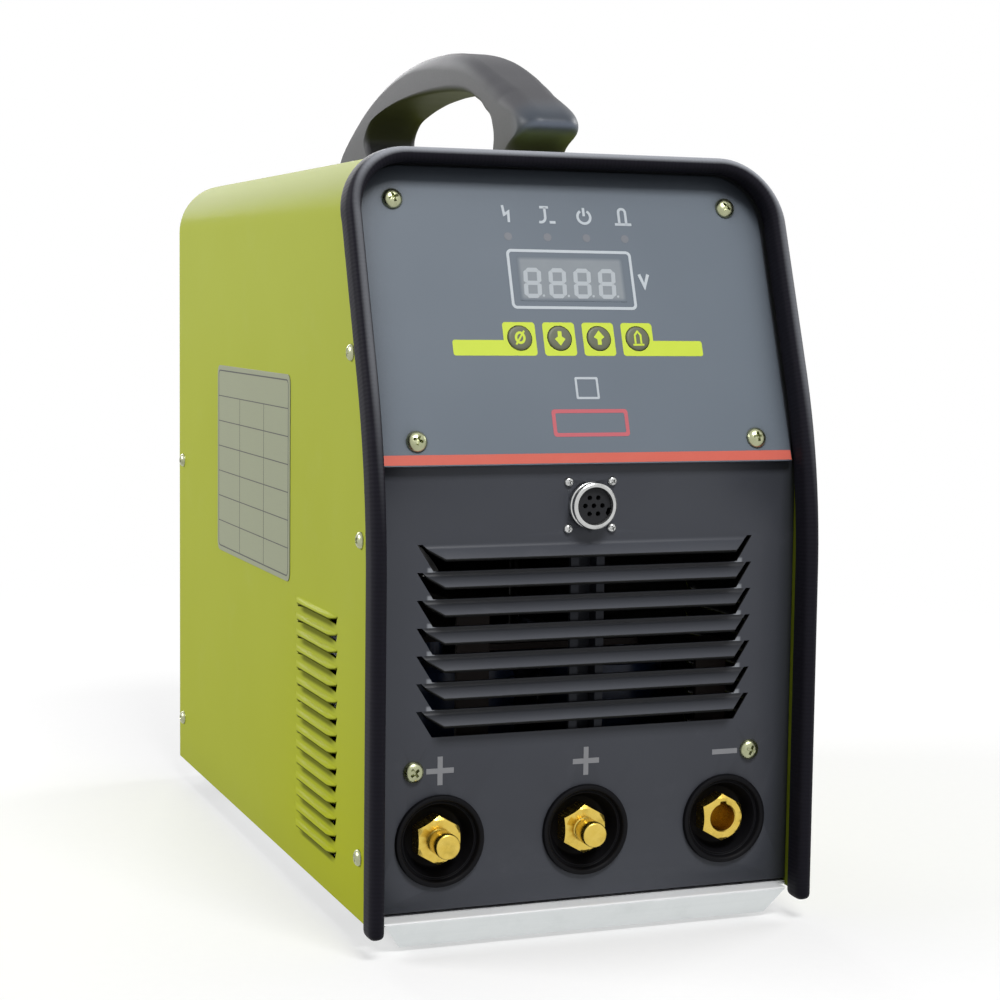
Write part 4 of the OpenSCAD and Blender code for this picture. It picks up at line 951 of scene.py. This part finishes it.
def make_front_panel():
    """The dark sheet: louvres below, a leaning frame above, flanges at its edges."""
    half = HALF - PANEL_GAP
    top_half, lip_half, foot_half, clear, margin = 82.2, 73.4, 74.4, 2.6, 92
    out, drop, opening, bend, columns = 6.9, 6.0, 12.4, 2.6, range(2, 8)
    first, foot = LOUVRE_Z[0] + 2.5, TRAY_TOP + 1.6

    def row(z, inner):
        side = [half, margin, inner + clear]
        across = [-x for x in side] + [share * inner for share in FIFTHS] + side[::-1]
        return [(x, PANEL_Y, z) for x in across]

    rows, slits = [row(first, top_half)], set()
    for top in LOUVRE_Z:
        slits.add(len(rows))
        rows += [row(top, top_half), row(top - opening, foot_half)]
    sheet = Shape().net(rows, keep=lambda r, c: not (r in slits and c in columns))
    for top in LOUVRE_Z:
        flap(sheet, front_at(0, top), top_half, lip_half, out, drop, bend)
    flat = front_at(0, 0)
    holes = [circle(TERM_HOLE, 48, x, TERM_Z) for x in TERM_X]
    holes += [circle(SCREW_HOLE, 16, s * PANEL_SCREW_X, PANEL_SCREW_Z) for s in (-1, 1)]
    sheet.holed([(-half, foot), (half, foot)] + [(x, z) for x, _, z in reversed(rows[-1])], holes, flat)
    holes = [circle(GUN_HOLE, 40, 0, GUN_Z)]
    holes += [circle(GUN_SCREW_HOLE, 12, a, GUN_Z + b) for a in (-GUN_SCREW, GUN_SCREW)
              for b in (-GUN_SCREW, GUN_SCREW)]
    sheet.holed([(x, z) for x, _, z in rows[0]] + [(half, BEND_Z), (-half, BEND_Z)], holes, flat)
    rim = [(x, (z - BEND_Z) / math.cos(RAKE) + OVERHANG) for x, z, _, _ in arch(PANEL_GAP, BEND_Z)
           if z >= BEND_Z - 0.01]
    holes = [box(-76.7, 18, 76.7, 124)]
    holes += [circle(SCREW_HOLE, 16, s * PLATE_SCREW_X, v) for s in (-1, 1) for v in PLATE_SCREW_V]
    sheet.holed(rim, holes, rake_at(0, 0))
    edge = [(-half, PANEL_Y, foot)] + [on_rake(a, b, 0) for a, b in rim] + [(half, PANEL_Y, foot)]
    for line in (edge, [edge[0], edge[-1]]):
        sheet.net([line, [(x, y + PANEL_FLANGE, z) for x, y, z in line]])
    piece("front_sheet", sheet, PANEL_PAINT, stands_for=["front_panel"], crease=42, thick=SHEET,
          facing=(0, -1, 0), even=True, inner=DARK_PAINT, dark_rim=True)


make_front_panel()


def make_base():
    """The galvanised tray: floor, front ledge with its bent lip, rear lip and side flanges."""
    lip_half, corner, ledge, slant, foot = 102.5, 9.0, 10.5, 6.0, 2.0
    floor_half = HALF - SHEET - 0.3
    front, rear = PANEL_Y - ledge, REAR_Y - 2

    def width(z):
        return lip_half - corner * max(0.0, TRAY_TOP - z) / (TRAY_TOP - foot)

    bend, seam = 2.0, PANEL_Y - 0.2
    lean = math.atan2(slant, TRAY_TOP - foot)
    fold = (Vector((front + math.sin(lean) * bend, TRAY_TOP - math.cos(lean) * bend)), Vector((front, TRAY_TOP)),
            Vector((front + bend, TRAY_TOP)))
    line = [(front + slant, foot), (front + slant * 0.5, (TRAY_TOP + foot) / 2)]
    for i in range(7):
        t = i / 6
        line.append(tuple(fold[0] * (1 - t) ** 2 + fold[1] * 2 * t * (1 - t) + fold[2] * t ** 2))
    line.append((seam, TRAY_TOP))
    shares = [-1, -0.6, -0.2, 0.2, 0.6, 1]
    tray = Shape().net([[(s * width(z), y, z) for s in shares] for y, z in line])
    tray.net([[(s * lip_half, y, TRAY_TOP) for s in shares] for y in (seam, PANEL_Y)])
    tray.net([[(s * floor_half, y, TRAY_TOP) for s in shares]
              for y in (PANEL_Y, PANEL_Y + 130, rear - 120, rear - 2)])
    back = [(rear - 2, TRAY_TOP), (rear - 0.6, TRAY_TOP - 0.6), (rear, TRAY_TOP - 2), (rear, foot)]
    tray.net([[(s * width(z), y, z) for s in shares] for y, z in back])
    for s in (-1, 1):
        tray.net([[(s * floor_half, y, z) for y in (PANEL_Y + 20, rear - 22)] for z in (TRAY_TOP, TRAY_TOP + 13)])
    piece("tray", tray, GALVANISED, stands_for=["base_tray"], crease=50, thick=SHEET,
          facing=(0, 0, 1), even=True)


make_base()


# ---------------------------------------------------------------- terminals

HEX_STEPS = 96


def hexagon(af):
    """How far a hexagon of that width across its flats reaches, at even angles."""
    return [af / 2 / math.cos(((t - math.pi / 2) % (math.pi / 3)) - math.pi / 6) for t in angles(HEX_STEPS)]


def ring(r, h):
    """A round ring of as many steps."""
    return [(r, h)] * HEX_STEPS


def turned_off(af, front):
    """The edge of a hexagon's front face with its corners turned off."""
    return [(r, front - 0.05 - (r - af / 2) * 0.9) for r in hexagon(af)]


def make_terminals():
    """Two studs with nuts and one hollow socket, each in its collar."""
    for i, x in enumerate(TERM_X):
        hole = 9.15 if i == 2 else 5.55
        collar = Shape().turned(
            [(hole, -9), (13.6, -9), (14.4, -8.4), (15.0, -7.2), (17.0, -1.6), (17.3, -1.0), (17.7, -0.9),
             (18.1, -1.1), (18.4, -0.9), (18.9, 0.9), (19.2, 1.7), (19.9, 2.1), (20.7, 2.15), (21.3, 1.9),
             (21.6, 1.3), (21.7, 0.8), (21.7, 0), (19.5, 0), (19.5, -13), (hole, -13), (hole, -9)],
            front_at(x, TERM_Z), 96)
        piece("collar_%d" % (i + 1), collar, COLLAR_PLASTIC,
              stands_for=["terminal_collar_%d" % (i + 1)], crease=40)
    af, bore, front, back = 20.2, 5.45, 0.5, -9
    for i in (0, 1):
        place = front_at(TERM_X[i], TERM_Z)
        stud = Shape().turned(
            [(0, 13), (3.0, 13.0), (4.9, 12.95), (5.4, 12.8), (5.8, 12.4), (5.98, 11.8), (5.98, 3.4), (5.8, 3.0),
             (5.3, 2.7), (5.2, 1.6), (5.4, 0.9), (5.4, -34), (0, -34)], place)
        piece("stud_%d" % (i + 1), stud, BRASS, stands_for=["positive_stud_%d" % (i + 1)], crease=40)
        nut = Shape().rings(
            [ring(bore, back), ring(bore, front + 0.6), ring(bore + 0.5, front), ring(af / 2 - 0.25, front),
             turned_off(af, front), [(r, back) for r in hexagon(af)], ring(bore, back)], place)
        piece("stud_nut_%d" % (i + 1), nut, BRASS, stands_for=["positive_nut_%d" % (i + 1)], crease=30)
    af, slot_half, slot_top, slot_end, bore_end, end = 20, 1.5, 7.7, -10, -24, -32

    def mouth(t):
        """The bore's edge with the slot at its top."""
        across, up = abs(math.cos(t)), math.sin(t)
        if up > 0 and across * slot_top <= slot_half * up + 1e-6:
            return slot_top / up
        if up > 0 and across * SOCKET_BORE < slot_half:
            return slot_half / max(across, 1e-6)
        return SOCKET_BORE

    edge = [mouth(t) for t in angles(HEX_STEPS)]
    place = front_at(TERM_X[2], TERM_Z)
    socket = Shape().rings(
        [[(r, slot_end) for r in edge], [(r, -0.6) for r in edge], [(r + 0.45, 0) for r in edge], ring(9.7, 0),
         turned_off(af, 0), [(r, back) for r in hexagon(af)], ring(9, back), ring(9, end), ring(0, end)], place)
    socket.rings([[(r, slot_end) for r in edge], ring(SOCKET_BORE, slot_end), ring(SOCKET_BORE, bore_end),
                  ring(0, bore_end)], place)
    piece("socket_negative", socket, BRASS, stands_for=["negative_socket"], crease=30)


make_terminals()


# ---------------------------------------------------------------- gun socket

def make_gun_socket():
    """The round socket: a grooved shell on a square flange, its insert with seven pin holes, and four screws."""
    place = front_at(0, GUN_Z)
    shell = Shape().turned(
        [(8.4, -18), (8.4, 5.2), (8.55, 6.2), (8.9, 6.8), (9.5, 7.0), (10.2, 6.95), (10.7, 6.6), (10.95, 6.0),
         (11.0, 5.2), (10.9, 4.6), (10.4, 4.2), (10.2, 3.6), (10.4, 3.0), (10.9, 2.6), (11.0, 2.0), (11.0, 0.2),
         (10.5, 0.1), (10.5, -18), (8.4, -18)], place, 80)
    flange = rounded(30, 30, 4)
    inner = [(a * 10.6 / math.hypot(a, b), b * 10.6 / math.hypot(a, b)) for a, b in flange]
    flange_back = -3.5
    shell.band(flange, inner, place, flange_back, -1.5)
    piece("gun_shell", shell, NICKEL, stands_for=["gun_socket_shell"], crease=30)
    step, face, back, pin_end = 4.3, 4.6, -16, -3
    pins = [(step * k, b) for b, row in ((step * 0.87, (-0.5, 0.5)), (0, (-1, 0, 1)), (-step * 0.87, (-0.5, 0.5)))
            for k in row]
    notched = [(a * 0.82, b * 0.82) if a * 0.94 - b * 0.34 > 8.1 else (a, b) for a, b in circle(8.3, 72)]
    holes = [circle(1.2, 16, a, b) for a, b in pins]
    insert = Shape().holed(notched, holes, place, face)
    insert.holed(notched, [], place, back)
    insert.walls(notched, place, back, face)
    for hole in holes:
        insert.walls(hole, place, pin_end, face)
        insert.holed(hole, [], place, pin_end)
    piece("gun_insert", insert, INSERT_PLASTIC, stands_for=["gun_socket_insert"], crease=30)
    screws = Shape()
    spots = [(a, b) for b in (GUN_SCREW, -GUN_SCREW) for a in (-GUN_SCREW, GUN_SCREW)]
    for i, (a, b) in enumerate(spots):
        put_screw(screws, HEAD_M3, front_at(a, GUN_Z + b), 17 + 31 * i, foot=0, shank=1.45, length=8,
                  nut=5.5, nut_at=flange_back, nut_high=2.4)
    piece("gun_screws", screws, NICKEL, stands_for=["gun_socket_screws"], crease=32)


make_gun_socket()


# ---------------------------------------------------------------- screws on the panels and the cover

def make_screws():
    """The screws of the control panel, the front sheet and the cover."""
    shape = Shape()
    for i, (v, s) in enumerate((v, s) for v in PLATE_SCREW_V[::-1] for s in (-1, 1)):
        put_screw(shape, HEAD_M5, rake_at(s * PLATE_SCREW_X, v), 20 + 25 * i, foot=FILM, shank=2.45, length=12,
                  nut=8, nut_at=-SHEET, nut_high=4)
    piece("plate_screws", shape, ZINC, stands_for=["control_panel_screws"], crease=32)
    shape = Shape()
    for i, s in enumerate((-1, 1)):
        put_screw(shape, HEAD_M5, front_at(s * PANEL_SCREW_X, PANEL_SCREW_Z), 40 + 28 * i, foot=0, shank=2.45,
                  length=22)
    piece("panel_screws", shape, ZINC, stands_for=["front_panel_screws"], crease=32)
    shape = Shape()
    spots = [(PANEL_Y + PANEL_FLANGE / 2 + max(0.0, z - BEND_Z) * math.tan(RAKE), z) for z in (42, 188.5, 273)]
    spots += [(182.0, z) for z in (39, 198)]
    for i, (y, z) in enumerate(spots):
        put_screw(shape, HEAD_M4, left_at(y, z), 15 + 37 * i, foot=0, shank=2.0, length=8)
        put_screw(shape, HEAD_M4, right_at(y, z), 50 + 29 * i, foot=0, shank=2.0, length=8)
    piece("side_screws", shape, ZINC, stands_for=["cover_screws"], crease=32)


make_screws()


# ---------------------------------------------------------------- prints, keys and display

def printed(name, outlines, finish, bands=(), place=rake_at(0, 0), low=FILM):
    """A thin print of filled outlines, and of bands between two outlines."""
    shape = Shape()
    for outline in outlines:
        shape.slab(outline, place, low, low + PRINT)
    for outer, inner in bands:
        shape.band(outer, inner, place, low, low + PRINT)
    piece(name, shape, finish)


def make_prints():
    """The prints on the control film, and the poles' signs over the terminals."""
    printed("print_band", [box(-103.2, 0.5, 103.2, 5.2)], PRINT_RED)
    wide, tall, r, tail, thin, tip = 8.1, 8.2, 1.6, 25.4, 7.6, 1.2
    plain = (arc(r, -90, 0, 6, wide - r, r - tall) + arc(r, 0, 90, 6, wide - r, tall - r)
             + arc(r, 90, 180, 6, r - wide, tall - r))
    square = plain + arc(r, 180, 270, 6, r - wide, r - tall)
    end = tip - wide - tail
    tailed = (plain + [(-wide, thin - tall)] + arc(tip, 90, 180, 5, end, thin - tall - tip)
              + arc(tip, 180, 270, 5, end, tip - tall))
    mirrored = [(-a, b) for a, b in reversed(tailed)]
    shape, low, high, sink = Shape(), FILM, FILM + PRINT, 0.4
    for x, outline in zip(KEY_X, (tailed, square, square, mirrored)):
        place, hole = rake_at(x, KEY_V - sink), circle(6.25, 40, 0, sink)
        for n in (low, high):
            shape.holed(outline, [hole], place, n)
        shape.walls(outline, place, low, high)
        shape.walls(hole, place, low, high)
    piece("print_squares", shape, PRINT_YELLOW)
    printed("print_frame", [stroke([(35.0, 93.4), (37.3, 87.2), (39.6, 93.4)], 1.6)], PRINT_WHITE,
            [(rounded(64.0, 29.6, 2.6, 0, 90.2), rounded(61.2, 26.8, 1.4, 0, 90.2))])
    printed("print_square", [], PRINT_PALE,
            [(rounded(11.8, 10.8, 0.8, 1.0, 36.6), rounded(9.6, 8.6, 0.3, 1.0, 36.6))])
    printed("print_box", [], PRINT_ROSE,
            [(rounded(38.5, 13.2, 1.6, 0.8, 19.7), rounded(34.9, 9.6, 0.8, 0.8, 19.7))])
    printed("print_lamps", [circle(2.0, 24, x, LAMP_V) for x in KEY_X], LAMP_LENS)
    top = 122.6
    bolt = [(-31.4, top + 4.3), (-30.8, top - 0.4), (-28.6, top + 1.0), (-28.8, top - 4.2)]
    hook = [(-12.5, top + 3.8), (-8.0, top + 3.8)]
    bend = [(-10.0, top + 3.8), (-10.0, top - 1.3)] + arc(2.5, 0, -110, 8, -12.5, top - 1.3)
    dash = [(-8.0, top - 3.7), (-5.0, top - 3.7)]
    plate = [(25.8, top - 3.9), (34.4, top - 3.9)]
    pin = [(28.2, top - 3.9), (28.2, top + 2.2)] + arc(1.8, 180, 0, 8, 30, top + 2.2) + [(31.8, top - 3.9)]
    power = [arc(3.3, 60, -240, 28, 10, top - 0.6), [(10, top + 4.0), (10, top - 0.2)]]
    printed("print_signs", [stroke(line, 1.3) for line in [bolt, hook, bend, dash, plate, pin] + power], PRINT_PALE)
    arm, thin, z = 6.7, 1.25, 81.8
    signs = [box(x - arm, z - thin, x + arm, z + thin) for x in TERM_X]
    for x in TERM_X[:2]:
        signs += [box(x - thin, z - arm, x + thin, z - thin), box(x - thin, z + thin, x + thin, z + arm)]
    printed("print_poles", signs, PRINT_GREY, place=front_at(0, 0), low=0)


make_prints()


def make_keys():
    """Low round keys under the film, each with its sign."""
    def arrow(way):
        return [(a, b * way) for a, b in ((0, -3.8), (2.7, -0.5), (1.0, 0.7), (1.0, 3.3), (-1.0, 3.3), (-1.0, 0.7),
                                          (-2.7, -0.5))]

    oval = [(a * 0.86, b) for a, b in circle(3.1, 28)]
    eye = [(a * 0.8, b) for a, b in circle(1.85, 28)]
    post = [(-1.5, -3.0), (-1.5, 1.6), (0, 3.4), (1.5, 1.6), (1.5, -3.0)]
    signs = [[stroke([(-2.3, -3.4), (2.3, 3.4)], 0.9)], [arrow(1)], [arrow(-1)],
             [stroke([(-2.8, -3.2), (2.9, -3.2)], 0.95), stroke(post, 0.95)]]
    for i, x in enumerate(KEY_X):
        place, body = rake_at(x, KEY_V), "key_%d" % (i + 1)
        cap = Shape().turned([(0, KEY_TOP), (3.0, KEY_TOP), (4.6, KEY_TOP - 0.02), (5.3, KEY_TOP - 0.08),
                              (5.75, KEY_TOP - 0.26), (5.95, KEY_TOP - 0.56), (5.95, FILM - 0.9), (4.0, FILM - 1.2),
                              (4.0, 0.2), (2.2, 0.0), (2.2, -3.4), (0, -3.4)], place, 56)
        piece("key_cap_%d" % (i + 1), cap, KEY_OLIVE, body, [body], crease=45)
        shape = Shape()
        for outline in signs[i]:
            shape.slab(outline, place, KEY_TOP, KEY_TOP + 0.05)
        if i == 0:
            shape.band(oval, eye, place, KEY_TOP, KEY_TOP + 0.04)
        piece("key_sign_%d" % (i + 1), shape, PRINT_YELLOW, body)


make_keys()


def make_digits():
    """The display's window with four unlit digits, each of seven bars and a point."""
    face = FILM + 0.03
    window = Shape().slab(rounded(54.6, 22.2, 0.8), rake_at(0, WINDOW_V), FILM - 0.1, face)
    piece("window", window, PANE, stands_for=["display_window"])
    shape = Shape()
    first, pitch, lean = -20.3, 12.7, 0.06
    side, high, thick, nose, neck = 3.4, 12.9, 1.05, 1.15, 0.85
    for i in range(4):
        x, v = first + pitch * i, DISPLAY_V - 1.0
        place = lambda a, b, h, x=x, v=v: on_rake(x + a + b * lean, v + b, h)
        for b in (-high / 2, 0, high / 2):
            shape.slab([(0.15 - side, b), (nose - side, b + thick), (side - nose, b + thick), (side - 0.15, b),
                        (side - nose, b - thick), (nose - side, b - thick)], place, face, face + DIGIT)
        t = high / 4 - 0.06
        for a in (-side, side):
            for b in (-high / 4, high / 4):
                shape.slab([(a, b - t), (a + thick, b - t + neck), (a + thick, b + t - neck), (a, b + t),
                            (a - thick, b + t - neck), (a - thick, b - t + neck)], place, face, face + DIGIT)
        shape.slab(circle(0.6, 14, side + 1.9, 0.2 - high / 2), place, face, face + DIGIT)
    piece("digits", shape, DIGIT_PALE)


make_digits()


# ---------------------------------------------------------------- handle

def make_handle():
    """The grey carrying handle: a bowed grip on two legs, its front end a round nose."""
    half, back = HANDLE_HALF, HANDLE_Y + HANDLE_LONG
    outer = [
        [(back, 0), (back - 0.2, 5), (back - 3.5, 11), (back - 12, 17.5)],
        [(back - 12, 17.5), (146, 29.6), (123, 40.8), (98, 50.0), (72, 57.0), (44, 62.0), (20, 63.8), (-5, 63.6),
         (-20, 62.9), (-35, 61.0), (-50, 58.0), (-62, 54.8), (-72, 51.4)],
        [(-72, 51.4), (-80, 48.4), (-95, 42.6), (-108, 37.4)],
        [(-108, 37.4), (-118, 33.1), (-126, 29.6), (-132.6, 26.8), (-138, 23.8),
         (-141.6, 21.0), (-143.4, 18.8), (-143.8, 16.8)],
        [(-143.8, 16.8), (-143.0, 15.0), (-140.8, 13.4), (-137.4, 12.1), (-133.2, 10.9), (-129.6, 9.5),
         (-126.4, 7.7), (-124, 5.4), (-122.8, 2.8), (-122.4, 0)]]
    inner = [
        [(101, 0), (101.4, 8), (103.5, 14), (110, 18), (117.5, 21.5), (119, 25.0), (114.6, 28.2), (110.5, 29.8),
         (108.6, 32.4), (107, 34.6)],
        [(107, 34.6), (99, 37.2), (75, 40.6), (53, 42.4), (23, 43.2), (-6, 42.7), (-34, 41.2), (-56, 38.8),
         (-64, 37.0)],
        [(-64, 37.0), (-73, 33.7), (-80, 31.6), (-82.6, 29.8), (-83.6, 27.8), (-86, 26.6), (-91, 25.4),
         (-94.6, 22)],
        [(-94.6, 22), (-97.6, 16), (-98.2, 13)],
        [(-98.2, 13), (-98.0, 10), (-96.6, 5), (-96.0, 0)]]
    counts = (12, 66, 22, 24, 20)

    def even(points, count):
        """As many points at even steps along a line."""
        runs = [0.0]
        for p, q in zip(points, points[1:]):
            runs.append(runs[-1] + math.hypot(q[0] - p[0], q[1] - p[1]))
        line, k = [], 0
        for i in range(count + 1):
            run = runs[-1] * i / count
            while k < len(points) - 2 and runs[k + 1] < run:
                k += 1
            t = (run - runs[k]) / (runs[k + 1] - runs[k])
            line.append(Vector((points[k][0] + (points[k + 1][0] - points[k][0]) * t,
                                points[k][1] + (points[k + 1][1] - points[k][1]) * t)))
        return line

    stations = []
    for far, near, count in zip(outer, inner, counts):
        pairs = list(zip(even(far, count), even(near, count)))
        stations += pairs[1:] if stations else pairs
    for _ in range(8):
        stations = [stations[0]] + [tuple((a[k] + 2 * b[k] + c[k]) / 4 for k in (0, 1)) for a, b, c in
                                    zip(stations, stations[1:], stations[2:])] + [stations[-1]]
    rows = []
    for far, near in stations:
        long = (far - near).length
        big, small = min(10.5, long * 0.47), min(3.6, long * 0.2)
        section = (arc(big, 0, 90, 8, half - big, long - big) + arc(big, 90, 180, 8, big - half, long - big)
                   + arc(small, 180, 270, 8, small - half, small) + arc(small, 270, 360, 8, half - small, small))
        spots = [near + (far - near) * (s / long) for _, s in section]
        rows.append([(x, spot.x, TOP + spot.y) for (x, _), spot in zip(section, spots)])
    grip = Shape().net(rows, around=True)
    wide, count = len(rows[0]), len(grip.points)
    grip.faces += [list(range(wide))[::-1], list(range(count - wide, count))]
    piece("grip", grip, HANDLE_PLASTIC, stands_for=["handle"], crease=60, even=True)


make_handle()


# ---------------------------------------------------------------- side plate

def make_side_plate():
    """The ruled plate on the cover's left side."""
    low, high = corners("data_plate")
    wide, tall = high.y - low.y, high.z - low.z
    place = left_at((low.y + high.y) / 2, (low.z + high.z) / 2)
    face, margin, line_half, rows = 0.5, 3, 0.25, 7
    step = (tall - 2 * margin) / rows
    plate = Shape().slab(rounded(wide, tall, 5, steps=8), place, 0, face)
    piece("side_plate", plate, SIDE_PLATE, stands_for=["data_plate"], soft=0.15)
    lines = Shape().band(rounded(wide - 5, tall - 5, 3.5, steps=8), rounded(wide - 6.4, tall - 6.4, 2.8, steps=8),
                         place, face, face + 0.05)
    for k in range(1, rows):
        b = tall / 2 - margin - step * k
        lines.slab(box(margin - wide / 2, b - line_half, wide / 2 - margin, b + line_half), place, face,
                   face + 0.05)
    for a in (-wide / 6, wide / 6):
        lines.slab(box(a - line_half, margin - tall / 2, a + line_half, tall / 2 - margin - step), place, face,
                   face + 0.04)
    piece("side_plate_lines", lines, PRINT_BLACK)


make_side_plate()


# ---------------------------------------------------------------- solids that keep their own shape

def smooth_group():
    """Joins a solid's triangles and shades them smooth between its real edges."""
    group = bpy.data.node_groups.new("smooth_between_edges", "GeometryNodeTree")
    group.interface.new_socket("Geometry", in_out="INPUT", socket_type="NodeSocketGeometry")
    group.interface.new_socket("Geometry", in_out="OUTPUT", socket_type="NodeSocketGeometry")
    start, end = group.nodes.new("NodeGroupInput"), group.nodes.new("NodeGroupOutput")
    merge = group.nodes.new("GeometryNodeMergeByDistance")
    merge.inputs["Distance"].default_value = 2e-6
    smooth, sharp = group.nodes.new("GeometryNodeSetShadeSmooth"), group.nodes.new("GeometryNodeSetShadeSmooth")
    sharp.domain = "EDGE"
    angle, wide = group.nodes.new("GeometryNodeInputMeshEdgeAngle"), group.nodes.new("FunctionNodeCompare")
    wide.operation = "GREATER_THAN"
    wide.inputs[1].default_value = math.radians(28)
    sharp.inputs["Shade Smooth"].default_value = False
    for a, b in ((start.outputs[0], merge.inputs["Geometry"]), (merge.outputs[0], smooth.inputs["Geometry"]),
                 (smooth.outputs[0], sharp.inputs["Geometry"]), (angle.outputs["Unsigned Angle"], wide.inputs[0]),
                 (wide.outputs[0], sharp.inputs["Selection"]), (sharp.outputs[0], end.inputs[0])):
        group.links.new(a, b)
    return group


SMOOTH = smooth_group()
KEPT = {
    "feet": FOOT_RUBBER, "foot_screws": ZINC, "louvre_stiffener": STIFFENER_PAINT, "control_panel": PLATE_PAINT,
    "keypad_overlay": FILM_GREY, "display_module": DISPLAY_FACE, "indicator_leds": LAMP_LENS,
    "control_board": BOARD, "key_switches": BLACK_PLASTIC, "board_standoffs": NICKEL, "terminal_board": RESIN_BOARD,
    "terminal_back_nuts": BRASS, "positive_busbar": COPPER, "negative_busbar": COPPER, "capacitor_bar": COPPER,
    "capacitor_1": SLEEVE, "capacitor_2": SLEEVE, "capacitor_3": SLEEVE, "capacitor_4": SLEEVE,
    "capacitor_clamp": DARK_ALUMINIUM, "thyristor_module": BLACK_PLASTIC, "heatsink": DARK_ALUMINIUM,
    "charger_board": BOARD, "charger_posts": BLACK_PLASTIC, "transformer": CORE_STEEL, "handle_bolts": ZINC,
    "rear_panel": PANEL_PAINT, "fan_frame": FAN_PLASTIC, "fan_rotor": FAN_PLASTIC, "fan_guard": NICKEL,
    "fan_screws": ZINC, "switch_body": BLACK_PLASTIC, "switch_rocker": ROCKER_RED, "cable_gland": BLACK_PLASTIC,
}
SOFT_EDGES = {"feet": 1.2, "cable_gland": 0.5, "switch_rocker": 0.5, "switch_body": 0.4, "fan_frame": 0.8,
              "fan_rotor": 0.3, "control_panel": 0.25}

for name, finish in KEPT.items():
    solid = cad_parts[name]
    solid.data.materials.clear()
    solid.data.materials.append(finish)
    solid.modifiers.new("smooth_between_edges", "NODES").node_group = SMOOTH
    if name in SOFT_EDGES:
        round_off(solid, SOFT_EDGES[name], 40, 2)


# ---------------------------------------------------------------- floor and light

def grey(level):
    """A grey as light."""
    return (level, level, level, 1)


def make_floor():
    """A pale floor that fades to white away from the case and shows white in reflections."""
    reach, low = 6.0, cad_low[2] - 0.0002
    mesh = bpy.data.meshes.new("floor")
    mesh.from_pydata([(a, b, low) for a, b in box(-reach, -reach, reach, reach)], [], [(0, 1, 2, 3)])
    floor = bpy.data.objects.new("floor", mesh)
    scene.collection.objects.link(floor)
    f = Finish("floor", Roughness=0.9, Specular_IOR_Level=0.1)
    pale = f.mix(f.noise(6, 3), grey(0.83), grey(0.86))
    f.give(Base_Color=f.mix(f.ray_is("Camera"), grey(0.3), pale))
    x, y, _ = f.axes()
    far = f.steps((x * x + y * y) ** 0.5, 330, 1100)
    seen = f.ray_is("Camera").at_least(f.ray_is("Transmission")) * (0.45 + far * 0.55)
    glow = f.node("Emission", None, {"Color": grey(1), "Strength": 1.0})
    blend = f.node("MixShader", None, {0: seen.at_least(f.ray_is("Glossy") * 0.95), 1: f.shader.outputs[0],
                                       2: glow.outputs[0]})
    f.feed(f.end.inputs["Surface"], blend.outputs[0])
    mesh.materials.append(f.material)


make_floor()


def make_world():
    """White all round where it is seen or mirrored, and a low even light."""
    world = bpy.data.worlds.new("studio")
    scene.world = world
    world.use_nodes = True
    sky = Nodes(world.node_tree)
    lit, white = (sky.node("Background", None, {"Color": grey(1), "Strength": s}).outputs[0] for s in (0.2, 1.0))
    seen = sky.ray_is("Camera").at_least(sky.ray_is("Glossy")).at_least(sky.ray_is("Transmission"))
    both = sky.node("MixShader", None, {0: seen, 1: lit, 2: white})
    sky.node("OutputWorld", None, {"Surface": both.outputs[0]})


make_world()


def hang_lamp(name, spot, aim, wide, high, power, shine=1.0):
    """A soft lamp of that size in metres, aimed at a place."""
    data = bpy.data.lights.new(name, "AREA")
    data.shape = "RECTANGLE"
    data.size, data.size_y, data.energy, data.specular_factor = wide, high, power, shine
    lamp = bpy.data.objects.new(name, data)
    scene.collection.objects.link(lamp)
    lamp.location = spot
    lamp.rotation_euler = (Vector(aim) - Vector(spot)).to_track_quat("-Z", "Y").to_euler()


hang_lamp("softbox_front", (0.12, -1.6, 2.1), (0, -0.12, 0.24), 1.0, 0.6, 40)
hang_lamp("softbox_left", (-2.0, 0.35, 1.25), (0, 0, 0.2), 1.2, 0.8, 33)
hang_lamp("softbox_right", (2.0, 0.35, 1.25), (0, 0, 0.2), 1.2, 0.8, 24)
hang_lamp("softbox_back", (0.0, 2.2, 1.0), (0, 0, 0.2), 1.2, 0.8, 22, 0.1)
